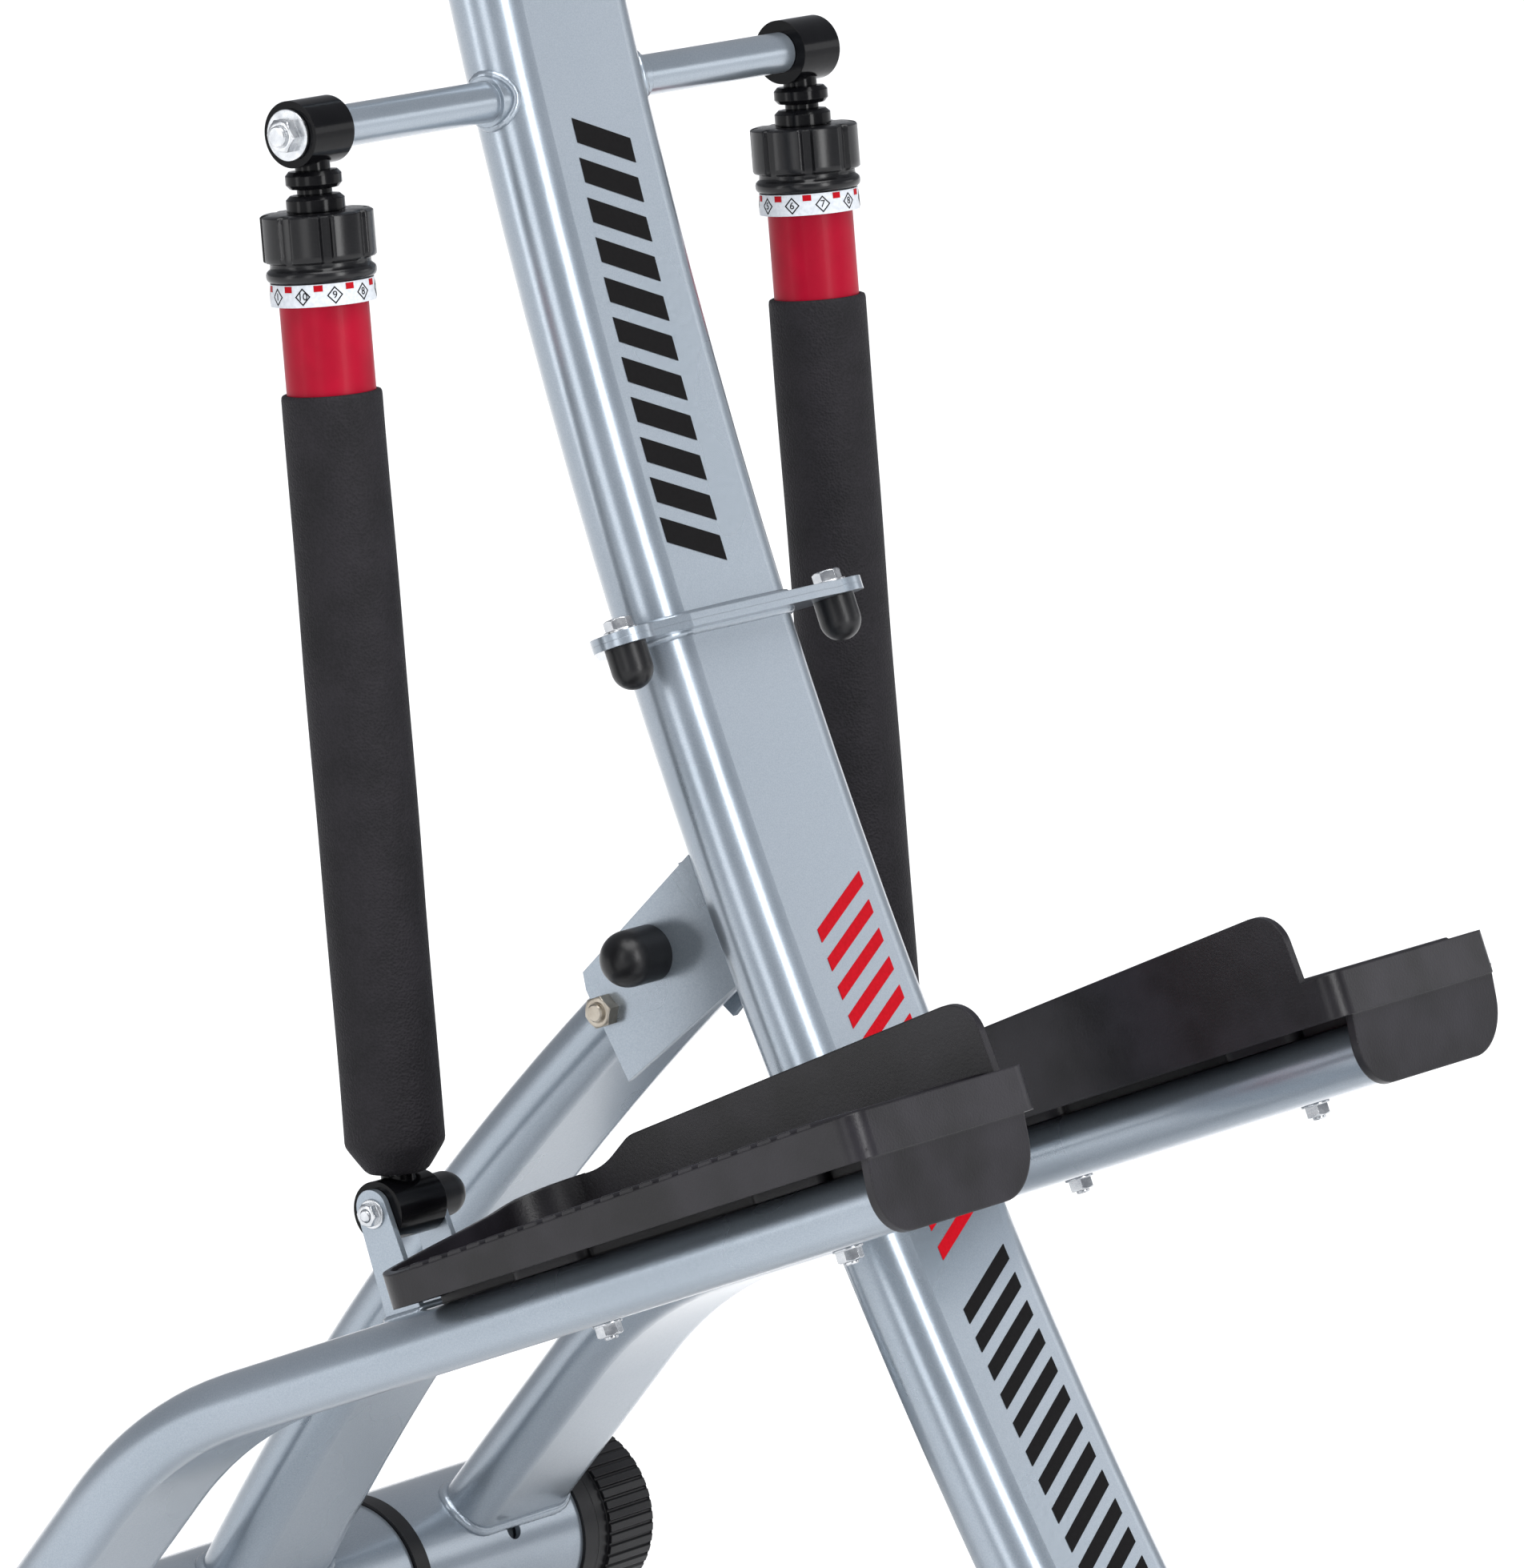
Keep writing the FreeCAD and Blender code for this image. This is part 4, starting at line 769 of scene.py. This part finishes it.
clevisCorners = [(footRun + u * welds["clevisHalfRun"], y * welds["clevisHalfWidth"])
                 for u, y in ((-1, 1), (1, 1), (1, -1), (-1, -1))]
loop = straightLoop(clevisCorners)
clevisWeld = bead(alongArm(loop[:, 0], armTop + 0.2, layout["sideY"] + loop[:, 1]), welds["clevis"])
for side in ("left", "right"):
    piece = gridMesh(f"{side}ArmWelds", onSide(side, [armWeld, clevisWeld]), closeV=True, sharp=80.0)
    dressed(piece, materials["frame_paint"], f"{side}_arm")
legFoot, legOut, legUp = arcSpot(layout["legCentre"], layout["legBend"], layout["axle"][1] + 38.0)
legLoop = ovalOnCylinder(axle, legFoot - axle, welds["sleeveReach"], *ovalSize, 0.0)
frameWelds = [bead(legLoop, welds["sleeve"])]
for shift in (layout["flangePlate"] + 0.2, -layout["flangePlate"] - 0.2):
    loop = ovalLoop(flangeSpot + flangeUp * shift, flangeForward, layout["mastWidth"] + welds["ovalGap"],
                    layout["mastThick"] + welds["ovalGap"])
    frameWelds.append(bead(loop, welds["flange"]))
turn = np.linspace(0, 2 * math.pi, 70, endpoint=False)
mastAtEye, mastOut, mastUp = arcSpot(layout["mastCentre"], layout["mastBend"], layout["upperEye"][1])
ringX, ringZ = welds["hangerRing"] * np.cos(turn), welds["hangerRing"] * np.sin(turn)
offset = (layout["upperEye"][0] - mastAtEye[0] + ringX) * mastOut[0] + ringZ * mastOut[2]
halfFlat, halfRound = (layout["mastWidth"] - layout["mastThick"]) / 2, layout["mastThick"] / 2
sideways = halfFlat + np.sqrt(np.clip(halfRound ** 2 - offset ** 2, 0, None))      # the mast's rounded side
hangerLoop = np.stack([layout["upperEye"][0] + ringX, sideways, layout["upperEye"][1] + ringZ], 1)
frameWelds += [bead(hangerLoop, welds["hanger"]), bead(mirroredGrid(hangerLoop), welds["hanger"])]
dressed(gridMesh("frameWelds", frameWelds, closeV=True, sharp=80.0), materials["frame_paint"], "frame")
print("welds")


# Pedal treads

tread = {
    "pitch": 11.2, "ridge": 7.4, "height": 2.0, "toe": -50.0, "heel": 196.0, "inner": 111.0, "outer": 226.8,
    "clear": 9.0, "boltHalf": 13.0,                        # round the bolts: along the arm, across it
    "toeTo": -45.0, "toeInner": 14.0, "toeOuter": 4.0,     # the toe's corners are round: a shorter ridge
}


def ridge(u, yFrom, yTo):
    # A low bar across the tread with rounded shoulders: a half profile of (run, height), mirrored, times a
    # height that falls away over its last millimetres
    half = np.array([(-0.5, -0.4), (-0.5, 0.0), (-0.46, 0.62), (-0.38, 0.92), (-0.2, 1.0)])
    shape = np.concatenate([half, half[::-1] * np.array([-1.0, 1.0])])
    y = np.array([yFrom, yFrom, yFrom + 0.5, yFrom + 1.4, yTo - 0.5, yTo, yTo])
    ends = np.array([0.0, 0.35, 0.8, 1.0, 1.0, 0.85, 0.0])
    rise = np.where(ends[:, None] == 0, -0.4, tread["height"] * shape[None, :, 1] * ends[:, None])
    return alongArm(u + tread["ridge"] * shape[None, :, 0], treadTop(u) + rise, y[:, None])


def treadRidges():
    grids = []
    for u in np.arange(tread["toe"], tread["heel"], tread["pitch"]):
        inner = tread["inner"] + (tread["toeInner"] if u < tread["toeTo"] else 0.0)
        outer = tread["outer"] - (tread["toeOuter"] if u < tread["toeTo"] else 0.0)
        if min(abs(u - bolt) for bolt in layout["pedalBolts"]) < tread["clear"] + tread["ridge"] / 2:
            grids += [ridge(u, inner, layout["sideY"] - tread["boltHalf"]),
                      ridge(u, layout["sideY"] + tread["boltHalf"], outer)]
        else:
            grids.append(ridge(u, inner, outer))
    return grids


ridges = treadRidges()
for side in ("left", "right"):
    piece = gridMesh(f"{side}TreadRidges", onSide(side, ridges), closeU=False, closeV=True, sharp=40.0)
    dressed(piece, materials["pedal_plastic"], f"{side}_arm")
print("pedal treads")


# Printed bars on the mast, in place of lettering

prints = {
    # top, bottom, middle across at top and bottom, width, bar, gap, lean, ink
    "upperBars": (748.0, 571.0, -1.0, 12.0, 35.0, 11.0, 6.6, 0.35, "blackInk"),
    "middleBars": (424.0, 278.0, -5.0, -3.0, 40.0, 6.0, 7.2, -0.45, "redInk"),
    "lowerBars": (270.0, 92.0, -4.0, -4.0, 42.0, 7.0, 6.4, -0.45, "blackInk"),
}


def mastRear(z, y, lift):
    # Points on the mast's rear face, an arc in XZ, lifted off it
    centre, bend = layout["mastCentre"], layout["mastBend"] - layout["mastThick"] / 2 - lift
    x = centre[0] + np.sqrt(bend ** 2 - (z - centre[1]) ** 2)
    return np.stack([x, y, z], -1)


def printedBars(top, bottom, middleTop, middleBottom, width, bar, gap, lean):
    # A ladder of slanted bars: each a parallelogram whose ends lean by this share of its width, laid on the
    # mast with its rim just under the surface
    grids, under, over = [], -0.2, 0.32
    rise = math.cos(math.asin((layout["mastCentre"][1] - (top + bottom) / 2) / layout["mastBend"]))
    lift = np.array([[under] * 4] + [[under, over, over, under]] * 5 + [[under] * 4])
    z = top
    while z - bar * rise > bottom:
        middle = middleTop + (middleBottom - middleTop) * (top - z) / (top - bottom)
        y = middle + width * np.array([-0.5, -0.5, -0.25, 0.0, 0.25, 0.5, 0.5])
        y, down = np.meshgrid(y, np.array([0.0, 0.0, bar * rise, bar * rise]), indexing="ij")
        grids.append(mastRear(z - down + lean * (y - middle), y, lift))
        z -= (bar + gap) * rise
    return grids


for name, (*numbers, ink) in prints.items():
    dressed(gridMesh(name, printedBars(*numbers), closeU=False, closeV=True), materials[ink], "frame")
print("printed bars")


# Figures on the display

display = {
    "middle": (190.0, 0.0, 1304.0), "tilt": 50.0, "face": 16.52, "depth": 0.12, "lean": 0.08, "thick": 1.7,
    # text, height, width, middle up the face, left end seen by the user
    "rows": [("12:34", 15.0, 8.2, 15.5, -26.0), ("0128", 8.0, 4.6, -1.5, -26.0),
             ("056", 8.0, 4.6, -1.5, 8.0)],
}
segments = {"0": "abcdef", "1": "bc", "2": "abged", "3": "abgcd", "4": "fgbc", "5": "afgcd", "6": "afgedc",
            "8": "abcdefg"}


def onDisplay(across, up, out):
    # Points of the display's face: across to the user's right, up the face, out towards the user
    tilt = math.radians(display["tilt"])
    upFace = np.array([math.cos(tilt), 0.0, math.sin(tilt)])
    outward = np.array([-math.sin(tilt), 0.0, math.cos(tilt)])
    return display["middle"] + up[..., None] * upFace + out[..., None] * outward - across[..., None] * yAxis


def segmentPatch(start, end, thick):
    # A thin six-sided stroke between two (across, up) points, pointed at both ends
    start, end = np.array(start, float), np.array(end, float)
    along = unit(end - start)
    side = np.array([-along[1], along[0]]) * thick / 2
    start, end = start + along * 0.35, end - along * 0.35
    rail = [start, start + along * thick / 2, end - along * thick / 2, end]
    left = [rail[0], rail[1] + side, rail[2] + side, rail[3]]
    right = [rail[0], rail[1] - side, rail[2] - side, rail[3]]
    flat = np.array([left, left, right, right])
    level = np.array([0.0, display["depth"], display["depth"], 0.0])[:, None] + np.zeros((4, 4))
    return onDisplay(flat[..., 0] + display["lean"] * flat[..., 1], flat[..., 1], display["face"] + level)


def displayFigures():
    # Seven-segment figures, each drawn from its lit segments
    grids = []
    for text, high, wide, middle, left in display["rows"]:
        x = left
        for letter in text:
            if letter == ":":
                for up in (middle - high / 5, middle + high / 5):
                    grids.append(segmentPatch((x - 0.9, up), (x + 0.9, up), display["thick"]))
                x += wide * 0.45
                continue
            low, top, right = middle - high / 2, middle + high / 2, x + wide
            ends = {"a": ((x, top), (right, top)), "b": ((right, top), (right, middle)),
                    "c": ((right, middle), (right, low)), "d": ((x, low), (right, low)),
                    "e": ((x, middle), (x, low)), "f": ((x, top), (x, middle)),
                    "g": ((x, middle), (right, middle))}
            for key in segments[letter]:
                grids.append(segmentPatch(*ends[key], display["thick"] * high / 15.0))
            x += wide * 1.45
    return grids


dressed(gridMesh("displayFigures", displayFigures()), materials["blackInk"], "frame")
print("display figures")


# Finish

print("pieces done")
